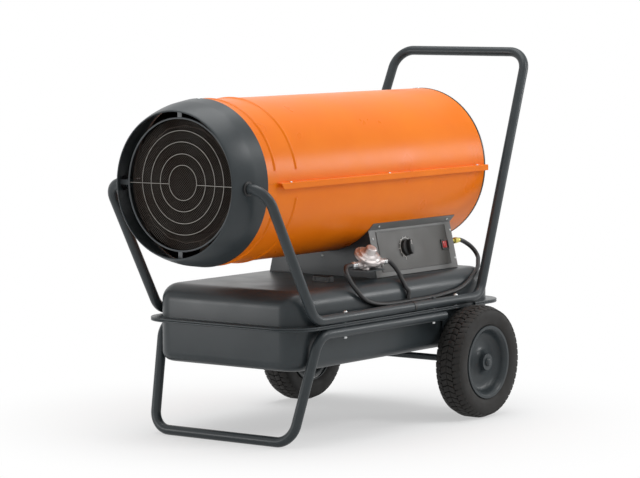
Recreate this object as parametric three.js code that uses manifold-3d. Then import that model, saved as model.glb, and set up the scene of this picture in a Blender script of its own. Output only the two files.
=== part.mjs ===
// A wheeled forced air heater: a two-piece steel barrel on a fuel tank, carried by two bent
// tubes that clamp the tank's flange, with two pneumatic wheels behind and a tube foot in front.
// Millimetres, +Z up. The outlet faces -Y, the push handle is at +Y and the controls are at +X.
// Lengths along the barrel (y) are counted from the front of the outlet lip while building, and
// the finished group is moved so that its origin is the middle of its footprint on the floor.

import * as THREE from 'three';
import { mergeVertices } from 'three/addons/utils/BufferGeometryUtils.js';
import Module from 'manifold-3d';

const wasm = await Module();
wasm.setup();

// ---------------------------------------------------------------- driving dimensions

const gap = 0.3;                 // between faces that touch on the real heater
const runningGap = 0.08;         // radial clearance of a turning fit

// Barrel and outlet cone
const barrelRadius = 225;
const barrelClearance = 69;      // free height between tank and barrel
const barrelLength = 1163;       // outlet lip to the rear edge of the shells
const sheet = 1.5;               // sheet steel of shells, cone and housing
const seamRise = 4;              // joint of the shells above the barrel axis
const flangeStart = 177;         // where the side flange of the shells begins
const flangeWidth = 15;          // its reach out from the shell
const flangeLip = 15;            // its turned-down edge, below the seam
const beadPositions = [157, 250];
const beadWidth = 9;
const beadHeight = 2.5;
const beadEndAngle = 10;         // degrees above the seam where a bead runs out
const coneLength = 117;
const lipRadius = 200;
const creaseY = 70;              // the cone flares steeply up to here, then less
const creaseRadius = 222.5;
const coneRearRadius = 229;
const shellInCone = 10;          // overlap of the shells inside the cone's rear edge

// Outlet guard
const guardDepth = 28;           // guard behind the lip
const guardRadius = 179;
const guardRingWire = 2.4;       // wire radius of the outer ring
const guardWire = 1.5;
const guardCircles = [0.26, 0.44, 0.625, 0.8];
const guardTabWidth = 14;

// Rear grille
const grilleBand = 12;
const grilleLip = 7;             // its rim behind the shells
const grilleWire = 1.8;
const grilleCircles = 3;

// Fuel tank: two pressed pans welded at their flanges
const tankHalfWidth = 248;
const tankFront = 211;
const tankRear = 1180;
const tankCorner = 60;
const tankTop = 421;
const tankBottom = 203;
const seamHeight = 322;
const panFlange = 5;             // thickness of one hemmed flange
const panFlangeReach = 33;
const panSheet = 1.5;
const topRounding = 48;
const barrelAxisHeight = tankTop + barrelClearance + barrelRadius;
const bottomRounding = 28;

// Bent tubes
const tubeRadius = 14;
const tubeWall = 2;
const railHalfWidth = 273;
const handleHeight = 1046;       // centre of the hand bar
const handleY = 1378;
const handleHalfWidth = 235;
const handleFoot = 1066;         // where the handle legs rise from the rails
const handleCornerBend = 62;
const railBend = 60;
const legCornerY = 49;           // front legs: where their line meets the pivot height
const legFoot = 264;             // where their line meets the rails
const legTopBend = 54;
const stubEnd = 194;             // tube ends inside the cone
const footY = 202;
const footHalfWidth = 240;
const footLegTop = 284;          // where the foot legs meet the lower rails
const footBend = 58;
const lowerRailEnd = 884;
const boltPositions = [402, handleFoot - 235, handleFoot - 124];
const boltRadius = 4;
const boltHeadRadius = 7;
const boltHeadHeight = 5;

// Wheels
const wheelRadius = 162;
const wheelWidth = 88;
const wheelCentreX = 316;
const axleY = 993;
const axleRadius = 9.5;
const rimRadius = 101;
const hubRadius = 25;
const hubHalfLength = 36;
const treadLugs = 20;
const treadDepth = 5;
const bracketPlate = 4;
const bracketX = 254;

// Housing between tank and barrel, with the control panel on its +X side
const housingFront = 669;
const housingRear = 1078;
const housingFoot = 190;         // half width on the tank
const housingTop = 160;          // half width where its sides meet the barrel
const panelFootHeight = tankTop + 6;
const panelLip = 28;             // strip of the panel that lies on the barrel
const labelMargin = 31;
const labelHeight = 117;
const labelSheet = 1.2;
const knobPlace = [165, 71];     // along and up the panel, from its lower front corner
const knobRadius = 23.5;
const knobHeight = 21;
const spindleRadius = 3;
const switchPlace = [housingRear - housingFront - 50, 66];
const switchSize = [36, 30];
const rockerSize = [27, 20];
const rockerTilt = 7;            // degrees to either side

// Gas line
const hoseRadius = 6.5;
const portHeight = tankTop + 49;
const regulatorCentre = [208, 600, portHeight + 19];
const regulatorRadius = 40;
const regulatorTilt = [0.53, -0.13, 0.84];
const portX = 206;
const portFront = 526;
const portRear = 690;
const inletX = 164;
const inletHeight = tankTop + 76;
const inletEnd = housingRear + 34;

// Inside the barrel
const chamberRadius = 160;
const chamberFront = 52;
const chamberRear = barrelLength - 523;
const burnerRadius = 55;
const fanRadius = 196;
const fanY = barrelLength - 71;
const fanBlades = 6;
const hubOfFan = 42;
const bladeThickness = 3;
const bladeRootHalf = 28;
const bladeTipHalf = 44;
const bladePitch = 30;           // degrees
const motorRadius = 72;
const motorLength = 150;
const motorRear = barrelLength - 113;
const shaftRadius = 7;
const pipeY = motorRear - motorLength - 70;   // gas pipe from the valve up to the burner
const pipeFoot = tankTop + 59;

// Filler and gauge
const fillerPlace = [-140, housingRear + 28];
const fillerRadius = 20;
const gaugePlace = [116, 515];
const gaugeSize = [60, 22, 16];

// ---------------------------------------------------------------- materials

const material = (color, roughness, metalness) =>
  new THREE.MeshStandardMaterial({ color, roughness, metalness });
const orangePaint = material(0xe8711c, 0.4, 0.1);
const greyPaint = material(0x43474a, 0.45, 0.3);
const panelPaint = material(0x5c5f5c, 0.5, 0.3);
const blackPlastic = material(0x151515, 0.5, 0);
const redPlastic = material(0xc01818, 0.35, 0);
const rubber = material(0x232220, 0.9, 0);
const zinc = material(0xb9bcbd, 0.35, 0.9);
const castZinc = material(0xc3b3b0, 0.4, 0.8);
const brass = material(0xb79a3f, 0.35, 0.9);
const heatSteel = material(0x3d3733, 0.6, 0.8);
const clearWindow = material(0x20262a, 0.1, 0);

// ---------------------------------------------------------------- shaping tools

// One closed mesh with shared corners, its faces turned outwards.
function closed(geometry) {
  const bare = geometry.clone();
  bare.deleteAttribute('normal');
  bare.deleteAttribute('uv');
  const merged = mergeVertices(bare, 1e-4);
  const place = merged.attributes.position;
  const index = merged.index.array;
  const [a, b, c] = [new THREE.Vector3(), new THREE.Vector3(), new THREE.Vector3()];
  let volume = 0;
  for (let i = 0; i < index.length; i += 3) {
    a.fromBufferAttribute(place, index[i]);
    b.fromBufferAttribute(place, index[i + 1]);
    c.fromBufferAttribute(place, index[i + 2]);
    volume += a.dot(b.cross(c));
  }
  if (volume < 0) {
    for (let i = 0; i < index.length; i += 3) {
      [index[i + 1], index[i + 2]] = [index[i + 2], index[i + 1]];
    }
  }
  return merged;
}

function toSolid(geometry) {
  const mesh = closed(geometry);
  return new wasm.Manifold(new wasm.Mesh({
    numProp: 3,
    vertProperties: new Float32Array(mesh.attributes.position.array),
    triVerts: new Uint32Array(mesh.index.array),
  }));
}

function toGeometry(solid) {
  const mesh = solid.getMesh();
  const geometry = new THREE.BufferGeometry();
  geometry.setAttribute('position', new THREE.BufferAttribute(mesh.vertProperties, 3));
  geometry.setIndex(new THREE.BufferAttribute(mesh.triVerts, 1));
  return geometry;
}

const join = (first, ...others) =>
  toGeometry(others.reduce((sum, other) => sum.add(toSolid(other)), toSolid(first)));

const cut = (first, ...others) =>
  toGeometry(others.reduce((sum, other) => sum.subtract(toSolid(other)), toSolid(first)));

const degrees = (angle) => THREE.MathUtils.degToRad(angle);

// The radius of a polygon of so many sides that stays clear of a round of this radius.
const around = (radius, sides) => radius / Math.cos(Math.PI / sides);

function circlePoints(radius, sides) {
  return Array.from({ length: sides }, (_, i) => {
    const turn = (2 * Math.PI * (i + 0.5)) / sides;
    return new THREE.Vector2(radius * Math.cos(turn), radius * Math.sin(turn));
  });
}

function box(x0, x1, y0, y1, z0, z1) {
  return new THREE.BoxGeometry(x1 - x0, y1 - y0, z1 - z0)
    .translate((x0 + x1) / 2, (y0 + y1) / 2, (z0 + z1) / 2);
}

// A round bar from one point to another.
function rod(radius, from, to, sides = 12) {
  const [a, b] = [new THREE.Vector3(...from), new THREE.Vector3(...to)];
  const along = b.clone().sub(a);
  const turn = new THREE.Quaternion()
    .setFromUnitVectors(new THREE.Vector3(0, 1, 0), along.clone().normalize());
  return new THREE.CylinderGeometry(radius, radius, along.length(), sides)
    .applyQuaternion(turn)
    .translate(...a.add(b).multiplyScalar(0.5));
}

// A closed profile of [radius, distance along the axis] turned about the Y axis.
function revolve(profile, segments) {
  const points = profile.map(([radius, along]) => new THREE.Vector2(radius, along));
  points.push(points[0].clone());
  return closed(new THREE.LatheGeometry(points, segments));
}

// The same about the barrel's axis, with the distances counted from the lip.
const revolveBarrel = (profile, segments) =>
  revolve(profile, segments).translate(0, 0, barrelAxisHeight);

// The same about an axis that points along a given direction from a point.
function revolveAbout(profile, segments, origin, direction) {
  const turn = new THREE.Quaternion()
    .setFromUnitVectors(new THREE.Vector3(0, 1, 0), new THREE.Vector3(...direction).normalize());
  return revolve(profile, segments).applyQuaternion(turn).translate(...origin);
}

// An outline drawn in x and z, pushed along y from y0 to y1.
function alongBarrel(shape, y0, y1) {
  return new THREE.ExtrudeGeometry(shape, { depth: y1 - y0, bevelEnabled: false, curveSegments: 6 })
    .rotateX(Math.PI / 2)
    .translate(0, y1, 0);
}

// A path of straight runs joined by round bends, with stations only where they are needed.
class BentPath extends THREE.Curve {
  constructor(corners, bends, stepsPerBend) {
    super();
    this.stations = [corners[0].clone()];
    this.tangents = [corners[1].clone().sub(corners[0]).normalize()];
    for (let i = 1; i < corners.length - 1; i++) {
      const before = corners[i].clone().sub(corners[i - 1]).normalize();
      const after = corners[i + 1].clone().sub(corners[i]).normalize();
      const angle = before.angleTo(after);
      const inward = after.clone().addScaledVector(before, -after.dot(before)).normalize();
      const start = corners[i].clone()
        .addScaledVector(before, -bends[i - 1] * Math.tan(angle / 2));
      for (let step = 0; step <= stepsPerBend; step++) {
        const turned = (angle * step) / stepsPerBend;
        this.stations.push(start.clone()
          .addScaledVector(before, bends[i - 1] * Math.sin(turned))
          .addScaledVector(inward, bends[i - 1] * (1 - Math.cos(turned))));
        this.tangents.push(before.clone().multiplyScalar(Math.cos(turned))
          .addScaledVector(inward, Math.sin(turned)));
      }
    }
    const last = corners.length - 1;
    this.stations.push(corners[last].clone());
    this.tangents.push(corners[last].clone().sub(corners[last - 1]).normalize());
  }

  get steps() {
    return this.stations.length - 1;
  }

  getPointAt(u, target = new THREE.Vector3()) {
    return target.copy(this.stations[Math.round(u * this.steps)]);
  }

  getTangentAt(u, target = new THREE.Vector3()) {
    return target.copy(this.tangents[Math.round(u * this.steps)]);
  }
}

// Steel tube bent at its corners, open at both ends.
function bentTube(corners, bends, radius, wall, stepsPerBend = 3) {
  const path = new BentPath(corners.map((corner) => new THREE.Vector3(...corner)), bends,
    stepsPerBend);
  const section = new THREE.Shape(circlePoints(radius, 10));
  section.holes.push(new THREE.Path(circlePoints(radius - wall, 5).reverse()));
  return closed(new THREE.ExtrudeGeometry(section, { steps: path.steps, extrudePath: path }));
}

// A hose through hand-chosen points.
function hose(points, radius, steps, sides = 8) {
  const route = new THREE.CatmullRomCurve3(points.map((point) => new THREE.Vector3(...point)));
  const section = new THREE.Shape(circlePoints(radius, sides));
  return closed(new THREE.ExtrudeGeometry(section, { steps, extrudePath: route }));
}

// Walls between rings of equally many points; the first and last rings are filled in.
function loft(rings) {
  const count = rings[0].length;
  const corners = rings.flat();
  const faces = [];
  for (let r = 0; r < rings.length - 1; r++) {
    for (let i = 0; i < count; i++) {
      const [a, b] = [r * count + i, r * count + ((i + 1) % count)];
      faces.push(a, b, b + count, a, b + count, a + count);
    }
  }
  const fill = (ring, offset, flipped) => {
    const flat = ring.map((point) => new THREE.Vector2(point.x, point.y));
    const swap = flipped !== THREE.ShapeUtils.isClockWise(flat);
    for (const [a, b, c] of THREE.ShapeUtils.triangulateShape(flat, [])) {
      faces.push(...(swap ? [a, c, b] : [a, b, c]).map((corner) => corner + offset));
    }
  };
  fill(rings[0], 0, true);
  fill(rings[rings.length - 1], (rings.length - 1) * count, false);
  const geometry = new THREE.BufferGeometry().setFromPoints(corners);
  geometry.setIndex(faces);
  return closed(geometry);
}

// ---------------------------------------------------------------- the assembly

const heater = new THREE.Group();

function piece(name, geometry, look, parent = heater) {
  const mesh = new THREE.Mesh(geometry, look);
  mesh.name = name;
  parent.add(mesh);
  return mesh;
}

const sides = [['left', -1], ['right', 1]];
const upperRailHeight = seamHeight + gap / 2 + panFlange + gap + tubeRadius;
const lowerRailHeight = seamHeight - gap / 2 - panFlange - gap - tubeRadius;

// ---------------------------------------------------------------- fuel tank

// The tank's outline, drawn in by an inset; a negative inset reaches out to the flange.
function tankRing(inset, z) {
  const corner = Math.max(tankCorner - inset, 2);
  const centres = [
    [tankHalfWidth - inset - corner, tankRear - inset - corner],
    [-(tankHalfWidth - inset - corner), tankRear - inset - corner],
    [-(tankHalfWidth - inset - corner), tankFront + inset + corner],
    [tankHalfWidth - inset - corner, tankFront + inset + corner],
  ];
  const steps = 4;
  return centres.flatMap(([x, y], quarter) => Array.from({ length: steps + 1 }, (_, i) => {
    const turn = (Math.PI / 2) * (quarter + i / steps);
    return new THREE.Vector3(x + corner * Math.cos(turn), y + corner * Math.sin(turn), z);
  }));
}

// One pan: a rounded outside, the flange, and the inside a sheet's thickness within.
function tankPan(end, rounding, seam, up) {
  const steps = 3;
  const curve = (radius, offset) => Array.from({ length: steps + 1 }, (_, i) => {
    const turn = (Math.PI / 2) * (1 - i / steps);
    return [offset + radius * (1 - Math.cos(turn)), end - up * (rounding - radius * Math.sin(turn))];
  });
  const profile = [
    ...curve(rounding, 0),
    [0, seam + up * panFlange],
    [-panFlangeReach, seam + up * panFlange],
    [-panFlangeReach, seam],
    [panSheet, seam],
    ...curve(rounding - panSheet, panSheet).reverse(),
  ];
  return loft(profile.map(([inset, z]) => tankRing(inset, z)));
}

function boltHoles(positions, from, to) {
  return sides.flatMap(([, side]) => positions.map((y) => rod(around(boltRadius + gap, 6),
    [side * railHalfWidth, y, from], [side * railHalfWidth, y, to], 6)));
}

// The flanges step back beside the tyres.
const tyreNotches = sides.map(([, side]) => {
  const [near, far] = [railHalfWidth + 2, tankHalfWidth + panFlangeReach + 5];
  return box(Math.min(side * near, side * far), Math.max(side * near, side * far),
    axleY - 42, axleY + 42, seamHeight - 2 * panFlange, seamHeight + 2 * panFlange);
});

const capSkirt = 4;
const neckHeight = 9;
const upperPan = tankPan(tankTop, topRounding, seamHeight + gap / 2, 1);
const lowerPan = tankPan(tankBottom, bottomRounding, seamHeight - gap / 2, -1);
const [fillerX, fillerY] = fillerPlace;
const neck = rod(fillerRadius, [fillerX, fillerY, tankTop - panSheet / 2],
  [fillerX, fillerY, tankTop + neckHeight], 20);
const neckBore = rod(fillerRadius - capSkirt / 2, [fillerX, fillerY, tankTop - topRounding],
  [fillerX, fillerY, tankTop + neckHeight + 1], 20);
piece('tank_upper', cut(join(upperPan, neck), neckBore, ...tyreNotches,
  ...boltHoles(boltPositions, seamHeight - 1, seamHeight + 2 * panFlange)), greyPaint);
piece('tank_lower', cut(lowerPan, ...tyreNotches,
  ...boltHoles(boltPositions, seamHeight - 2 * panFlange, seamHeight + 1)), greyPaint);

// A quarter-turn cap with finger notches over the neck.
const capRadius = fillerRadius + gap + capSkirt;
const capTop = tankTop + neckHeight + gap + capSkirt;
const capBody = revolveAbout([
  [0.01, tankTop + neckHeight + gap],
  [around(fillerRadius + gap, 16), tankTop + neckHeight + gap],
  [around(fillerRadius + gap, 16), tankTop + gap],
  [capRadius, tankTop + gap],
  [capRadius, capTop - 2],
  [capRadius - 2, capTop],
  [0.01, capTop],
], 16, [fillerX, fillerY, 0], [0, 0, 1]);
const capGrip = box(fillerX - capRadius + 5, fillerX + capRadius - 5,
  fillerY - 3.5, fillerY + 3.5, capTop - 1, capTop + 9);
piece('filler_cap', join(capBody, capGrip), blackPlastic);

// The level gauge: a low housing with a window towards the outlet.
const [gaugeX, gaugeY] = gaugePlace;
const [gaugeWidth, gaugeDepth, gaugeHeight] = gaugeSize;
const gaugeFoot = tankTop + gap;
const windowInset = 9;
const windowRim = 3;
const windowDepth = 3;
const gaugeShape = new THREE.Shape([
  new THREE.Vector2(-gaugeDepth / 2, 0),
  new THREE.Vector2(gaugeDepth / 2, 0),
  new THREE.Vector2(gaugeDepth / 2, gaugeHeight - 5),
  new THREE.Vector2(gaugeDepth / 2 - 5, gaugeHeight),
  new THREE.Vector2(-gaugeDepth / 2 + 2, gaugeHeight),
  new THREE.Vector2(-gaugeDepth / 2, gaugeHeight - 2),
]);
const gaugeBody = new THREE.ExtrudeGeometry(gaugeShape, { depth: gaugeWidth, bevelEnabled: false })
  .rotateX(Math.PI / 2).rotateZ(Math.PI / 2)
  .translate(gaugeX - gaugeWidth / 2, gaugeY, gaugeFoot);
const windowBox = (margin, front, back) => box(
  gaugeX - gaugeWidth / 2 + windowInset + margin, gaugeX + gaugeWidth / 2 - windowInset - margin,
  front, back, gaugeFoot + windowRim + margin, gaugeFoot + gaugeHeight - windowRim - margin);
const gaugeFace = gaugeY - gaugeDepth / 2;
piece('level_gauge', cut(gaugeBody, windowBox(0, gaugeFace - 1, gaugeFace + windowDepth)),
  greyPaint);
piece('gauge_window', closed(windowBox(gap, gaugeFace + 0.8, gaugeFace + windowDepth - gap)),
  clearWindow);

// ---------------------------------------------------------------- bent tube frames

// Upper tube: front legs, rails on the tank's flange and the push handle, in one piece.
const legCorners = (side) => [
  [side * stubEnd, legCornerY, barrelAxisHeight - 4],
  [side * (railHalfWidth + 1), legCornerY, barrelAxisHeight - 4],
  [side * railHalfWidth, legFoot, upperRailHeight],
  [side * railHalfWidth, handleFoot, upperRailHeight],
  [side * handleHalfWidth, handleY, handleHeight],
];
const upperCorners = [...legCorners(-1), ...legCorners(1).reverse()];
const upperBends = [legTopBend, railBend, railBend, handleCornerBend];
piece('frame_upper', cut(
  bentTube(upperCorners, [...upperBends, ...[...upperBends].reverse()], tubeRadius, tubeWall),
  ...boltHoles(boltPositions, upperRailHeight - 2 * tubeRadius, upperRailHeight + 2 * tubeRadius)),
greyPaint);

// Lower tube: the foot, its legs and the rails under the flange.
const footCorners = (side) => [
  [side * railHalfWidth, lowerRailEnd, lowerRailHeight],
  [side * railHalfWidth, footLegTop, lowerRailHeight],
  [side * footHalfWidth, footY, tubeRadius],
];
const lowerCorners = [...footCorners(-1), ...footCorners(1).reverse()];
const throughBolts = boltPositions.filter((y) => y < lowerRailEnd);
piece('frame_lower', cut(
  bentTube(lowerCorners, [footBend, footBend, footBend, footBend], tubeRadius, tubeWall),
  ...boltHoles(throughBolts, lowerRailHeight - 2 * tubeRadius, lowerRailHeight + 2 * tubeRadius)),
greyPaint);

// Round-headed bolts through rail, flange and rail. The rearmost ends in the flange.
for (const [side, sign] of sides) {
  boltPositions.forEach((y, i) => {
    const top = upperRailHeight + tubeRadius + gap;
    const through = y < lowerRailEnd;
    const foot = through ? lowerRailHeight - tubeRadius - gap : seamHeight - panFlange;
    const head = [
      [0.01, foot + (through ? -boltHeadHeight : 0)],
      ...(through ? [
        [boltHeadRadius - 2, foot - boltHeadHeight],
        [boltHeadRadius - 1, foot],
      ] : []),
      [boltRadius, foot],
      [boltRadius, top],
      [boltHeadRadius, top],
      [boltHeadRadius * 0.75, top + boltHeadHeight * 0.8],
      [0.01, top + boltHeadHeight],
    ];
    piece(`rail_bolt_${side}_${i + 1}`,
      revolveAbout(head, 6, [sign * railHalfWidth, y, 0], [0, 0, 1]), zinc);
  });
}

// A spring clip over the upper rail that keeps the hoses in place.
const clipY = handleFoot - 340;
const clipWidth = 12;
const clipSheet = 0.8;
const clipOuter = tubeRadius + gap + clipSheet;
const clipShape = new THREE.Shape();
clipShape.absarc(0, 0, clipOuter, degrees(-35), degrees(215), false);
clipShape.absarc(0, 0, tubeRadius + gap, degrees(215), degrees(-35), true);
piece('hose_clip', closed(new THREE.ExtrudeGeometry(clipShape,
  { depth: clipWidth, bevelEnabled: false, curveSegments: 10 })
  .rotateX(Math.PI / 2)
  .translate(railHalfWidth, clipY + clipWidth / 2, upperRailHeight)), zinc);

// ---------------------------------------------------------------- axle and wheels

const axleHeight = wheelRadius;
const axleEnd = wheelCentreX + hubHalfLength + 4;
piece('axle', closed(rod(axleRadius, [-axleEnd, axleY, axleHeight], [axleEnd, axleY, axleHeight],
  16)), greyPaint);

// Brackets that hang from the tank's flange and hold the axle.
const bracketTop = seamHeight - gap / 2 - panFlange - gap;
for (const [side, sign] of sides) {
  const plate = new THREE.Shape([
    new THREE.Vector2(axleY - 90, bracketTop),
    new THREE.Vector2(axleY - 90, bracketTop - 50),
    new THREE.Vector2(axleY - 24, axleHeight - 20),
    new THREE.Vector2(axleY + 24, axleHeight - 20),
    new THREE.Vector2(axleY + 90, bracketTop - 50),
    new THREE.Vector2(axleY + 90, bracketTop),
  ]);
  const hole = new THREE.Path(circlePoints(around(axleRadius + gap, 16), 16)
    .map((point) => new THREE.Vector2(point.x + axleY, point.y + axleHeight)));
  plate.holes.push(hole);
  const web = new THREE.ExtrudeGeometry(plate, { depth: bracketPlate, bevelEnabled: false })
    .rotateX(Math.PI / 2).rotateZ(Math.PI / 2)
    .translate(sign > 0 ? bracketX : -bracketX - bracketPlate, 0, 0);
  const tab = box(sign > 0 ? bracketX : -bracketX - 12, sign > 0 ? bracketX + 12 : -bracketX,
    axleY - 90, axleY + 90, bracketTop - bracketPlate, bracketTop);
  piece(`axle_bracket_${side}`, join(web, tab), greyPaint);
}

// Tyre: a filled section with lugs that curve across the tread.
function tyreGeometry() {
  const half = wheelWidth / 2;
  const tread = [[-0.84, 5], [-0.3, 0], [0.3, 0], [0.84, 5]];
  const wall = [[0.98, 22], [0.96, 46]];
  const columns = 2 * treadLugs;
  const seat = around(rimRadius + gap, columns);
  const section = [
    ...tread.map(([across, drop]) => [across * half, wheelRadius - drop, true]),
    ...wall.map(([across, drop]) => [across * half, wheelRadius - drop, false]),
    [0.74 * half, seat, false],
    [-0.74 * half, seat, false],
    ...wall.map(([across, drop]) => [-across * half, wheelRadius - drop, false]).reverse(),
  ];
  const corners = [];
  const faces = [];
  for (let column = 0; column < columns; column++) {
    section.forEach(([across, radius, onTread], i) => {
      const groove = onTread && column % 2 === 1 ? treadDepth : 0;
      const sweep = onTread ? 0.75 * (across / half) * (Math.PI / treadLugs) : 0;
      const turn = (2 * Math.PI * column) / columns + sweep;
      corners.push(new THREE.Vector3(across, (radius - groove) * Math.cos(turn),
        (radius - groove) * Math.sin(turn)));
      const next = ((column + 1) % columns) * section.length;
      const [a, b] = [column * section.length + i,
        column * section.length + ((i + 1) % section.length)];
      const [c, d] = [next + i, next + ((i + 1) % section.length)];
      faces.push(a, b, d, a, d, c);
    });
  }
  const geometry = new THREE.BufferGeometry().setFromPoints(corners);
  geometry.setIndex(faces);
  return closed(geometry);
}

// Rim: two pressed dishes welded to a hub tube.
const rimSegments = 18;
const hubBore = around(axleRadius + runningGap, rimSegments);
const rimProfile = [
  [hubBore, -hubHalfLength],
  [hubRadius, -hubHalfLength],
  [hubRadius, -4],
  [rimRadius * 0.84, -2],
  [rimRadius * 0.86, -wheelWidth * 0.33],
  [rimRadius - 1, -wheelWidth * 0.37],
  [rimRadius, -wheelWidth * 0.32],
  [rimRadius, wheelWidth * 0.32],
  [rimRadius - 1, wheelWidth * 0.4],
  [rimRadius * 0.9, wheelWidth * 0.38],
  [rimRadius * 0.84, wheelWidth * 0.16],
  [rimRadius * 0.62, wheelWidth * 0.07],
  [hubRadius * 1.35, wheelWidth * 0.12],
  [hubRadius, wheelWidth * 0.24],
  [hubRadius * 0.95, hubHalfLength],
  [hubBore, hubHalfLength],
];
for (const [side, sign] of sides) {
  const wheel = new THREE.Group();
  wheel.position.set(sign * wheelCentreX, axleY, axleHeight);
  heater.add(wheel);
  const turned = revolve(rimProfile, rimSegments).rotateZ(-sign * Math.PI / 2);
  piece(`wheel_rim_${side}`, closed(turned), greyPaint, wheel);
  const tyre = tyreGeometry();
  piece(`tyre_${side}`, sign > 0 ? tyre : tyre.rotateZ(Math.PI), rubber, wheel);
  const cap = revolve([
    [0.01, axleEnd - wheelCentreX + gap],
    [around(axleRadius + gap, 12), axleEnd - wheelCentreX + gap],
    [around(axleRadius + gap, 12), hubHalfLength + gap],
    [axleRadius + 3, hubHalfLength + gap],
    [axleRadius + 2.4, hubHalfLength + 5],
    [0.01, hubHalfLength + 8],
  ], 12).rotateZ(-sign * Math.PI / 2).translate(sign * wheelCentreX, axleY, axleHeight);
  piece(`axle_cap_${side}`, closed(cap), greyPaint);
}

// ---------------------------------------------------------------- barrel shells

const shellSegments = 22;
const shellFront = coneLength - shellInCone;
const insideShell = (barrelRadius - sheet) * Math.cos(Math.PI / (2 * shellSegments)) - gap;
const seam = barrelAxisHeight + seamRise;

// Points on an arc about the barrel's axis.
function arcPoints(radius, from, to, steps) {
  return Array.from({ length: steps + 1 }, (_, i) => {
    const turn = degrees(from + ((to - from) * i) / steps);
    return new THREE.Vector2(radius * Math.cos(turn), barrelAxisHeight + radius * Math.sin(turn));
  });
}

// Half a shell with its side flanges; "up" is 1 for the upper one, -1 for the lower one.
function shellOutline(up) {
  const outer = barrelRadius;
  const inner = barrelRadius - sheet;
  const base = seam + (up * gap) / 2;
  const lean = THREE.MathUtils.radToDeg(Math.asin((base - barrelAxisHeight) / outer));
  const span = up > 0 ? [lean, 180 - lean] : [lean, -180 - lean];
  const edge = outer + flangeWidth;
  const flange = (side) => (up > 0 ? [
    [side * (edge - sheet), base],
    [side * (edge - sheet), barrelAxisHeight - flangeLip + seamRise],
    [side * edge, barrelAxisHeight - flangeLip + seamRise],
    [side * edge, base + sheet],
  ] : [
    [side * (edge - sheet - 2 * gap), base],
    [side * (edge - sheet - 2 * gap), base - sheet],
  ]);
  const root = (side) => [side * Math.sqrt(outer ** 2 - (base + up * sheet - barrelAxisHeight) ** 2),
    base + up * sheet];
  const outerArc = arcPoints(outer, ...span, shellSegments).slice(1, -1);
  const innerArc = arcPoints(inner, ...span, shellSegments).slice(1, -1).reverse();
  const toPoint = ([x, z]) => new THREE.Vector2(x, z);
  const innerEnd = Math.sqrt(inner ** 2 - (base - barrelAxisHeight) ** 2);
  return new THREE.Shape([
    toPoint([innerEnd, base]),
    ...flange(1).map(toPoint),
    toPoint(root(1)),
    ...outerArc,
    toPoint(root(-1)),
    ...flange(-1).reverse().map(toPoint),
    toPoint([-innerEnd, base]),
    ...innerArc,
  ]);
}

function bead(y, from, to) {
  const steps = shellSegments - 4;
  const band = new THREE.Shape([
    ...arcPoints(barrelRadius + beadHeight, from, to, steps),
    ...arcPoints(barrelRadius - sheet / 2, from, to, steps).reverse(),
  ]);
  return alongBarrel(band, y - beadWidth / 2, y + beadWidth / 2);
}

// The flange starts behind the cone with a slanted corner.
function flangeClearance(side) {
  const slant = new THREE.Shape([
    new THREE.Vector2(shellFront - 1, -4 * flangeLip),
    new THREE.Vector2(flangeStart + flangeLip / 2, -4 * flangeLip),
    new THREE.Vector2(flangeStart + flangeLip / 2, seamRise - flangeLip),
    new THREE.Vector2(flangeStart - flangeLip, seamRise + sheet),
    new THREE.Vector2(flangeStart - flangeLip, 2 * flangeLip),
    new THREE.Vector2(shellFront - 1, 2 * flangeLip),
  ]);
  const width = 2 * flangeWidth;
  return new THREE.ExtrudeGeometry(slant, { depth: width, bevelEnabled: false })
    .rotateX(Math.PI / 2).rotateZ(Math.PI / 2)
    .translate(side > 0 ? barrelRadius + gap : -barrelRadius - gap - width, 0, barrelAxisHeight);
}

for (const [name, up] of [['shell_upper', 1], ['shell_lower', -1]]) {
  const half = alongBarrel(shellOutline(up), shellFront, barrelLength);
  const beads = beadPositions.map((y) => bead(y, up * beadEndAngle, up * (180 - beadEndAngle)));
  const openings = sides.map(([, side]) => flangeClearance(side));
  if (up < 0) {
    openings.push(rod(14, [0, pipeY, barrelAxisHeight - barrelRadius - 10],
      [0, pipeY, barrelAxisHeight - barrelRadius + 10], 12));
  }
  piece(name, cut(join(half, ...beads), ...openings), orangePaint);
}

// ---------------------------------------------------------------- outlet cone and guard

// Outside radius of the cone at a distance behind the lip.
function coneRadius(y) {
  if (y > creaseY) {
    return creaseRadius + ((coneRearRadius - creaseRadius) * (y - creaseY)) / (coneLength - creaseY);
  }
  const share = y / creaseY;
  return lipRadius + (creaseRadius - lipRadius) * (1.35 * share - 0.35 * share * share);
}
const coneSegments = 40;
const coneStations = [3, 36, creaseY, coneLength];
const coneOuter = coneStations.map((y) => [coneRadius(y), y]);
const coneInner = [5, guardDepth, creaseY, coneLength].map((y) => [coneRadius(y) - sheet, y]).reverse();
const coneBody = revolveBarrel([
  [lipRadius - 4, 0], ...coneOuter, ...coneInner,
], coneSegments);
const pivotHeight = barrelAxisHeight - 4;
const grommetRadius = tubeRadius + 4;
const grommetHoles = sides.map(([, side]) => rod(around(grommetRadius + gap, 16),
  [side * (stubEnd - 10), legCornerY, pivotHeight], [side * railHalfWidth, legCornerY, pivotHeight],
  16));
piece('outlet_cone', cut(coneBody, ...grommetHoles), greyPaint);

// Rubber grommets where the frame's front legs enter the cone.
const grommetFace = railHalfWidth - legTopBend;
for (const [side, sign] of sides) {
  const profile = [
    [around(tubeRadius + gap, 16), grommetFace - 22],
    [grommetRadius, grommetFace - 22],
    [grommetRadius, grommetFace],
    [around(tubeRadius + gap, 16), grommetFace],
  ];
  piece(`leg_grommet_${side}`,
    revolveAbout(profile, 16, [0, legCornerY, pivotHeight], [sign, 0, 0]), rubber);
}

function wireCircle(radius, wire, y, segments, ringSides) {
  return new THREE.TorusGeometry(radius, wire, ringSides, segments)
    .rotateX(Math.PI / 2)
    .translate(0, y, barrelAxisHeight);
}

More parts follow.
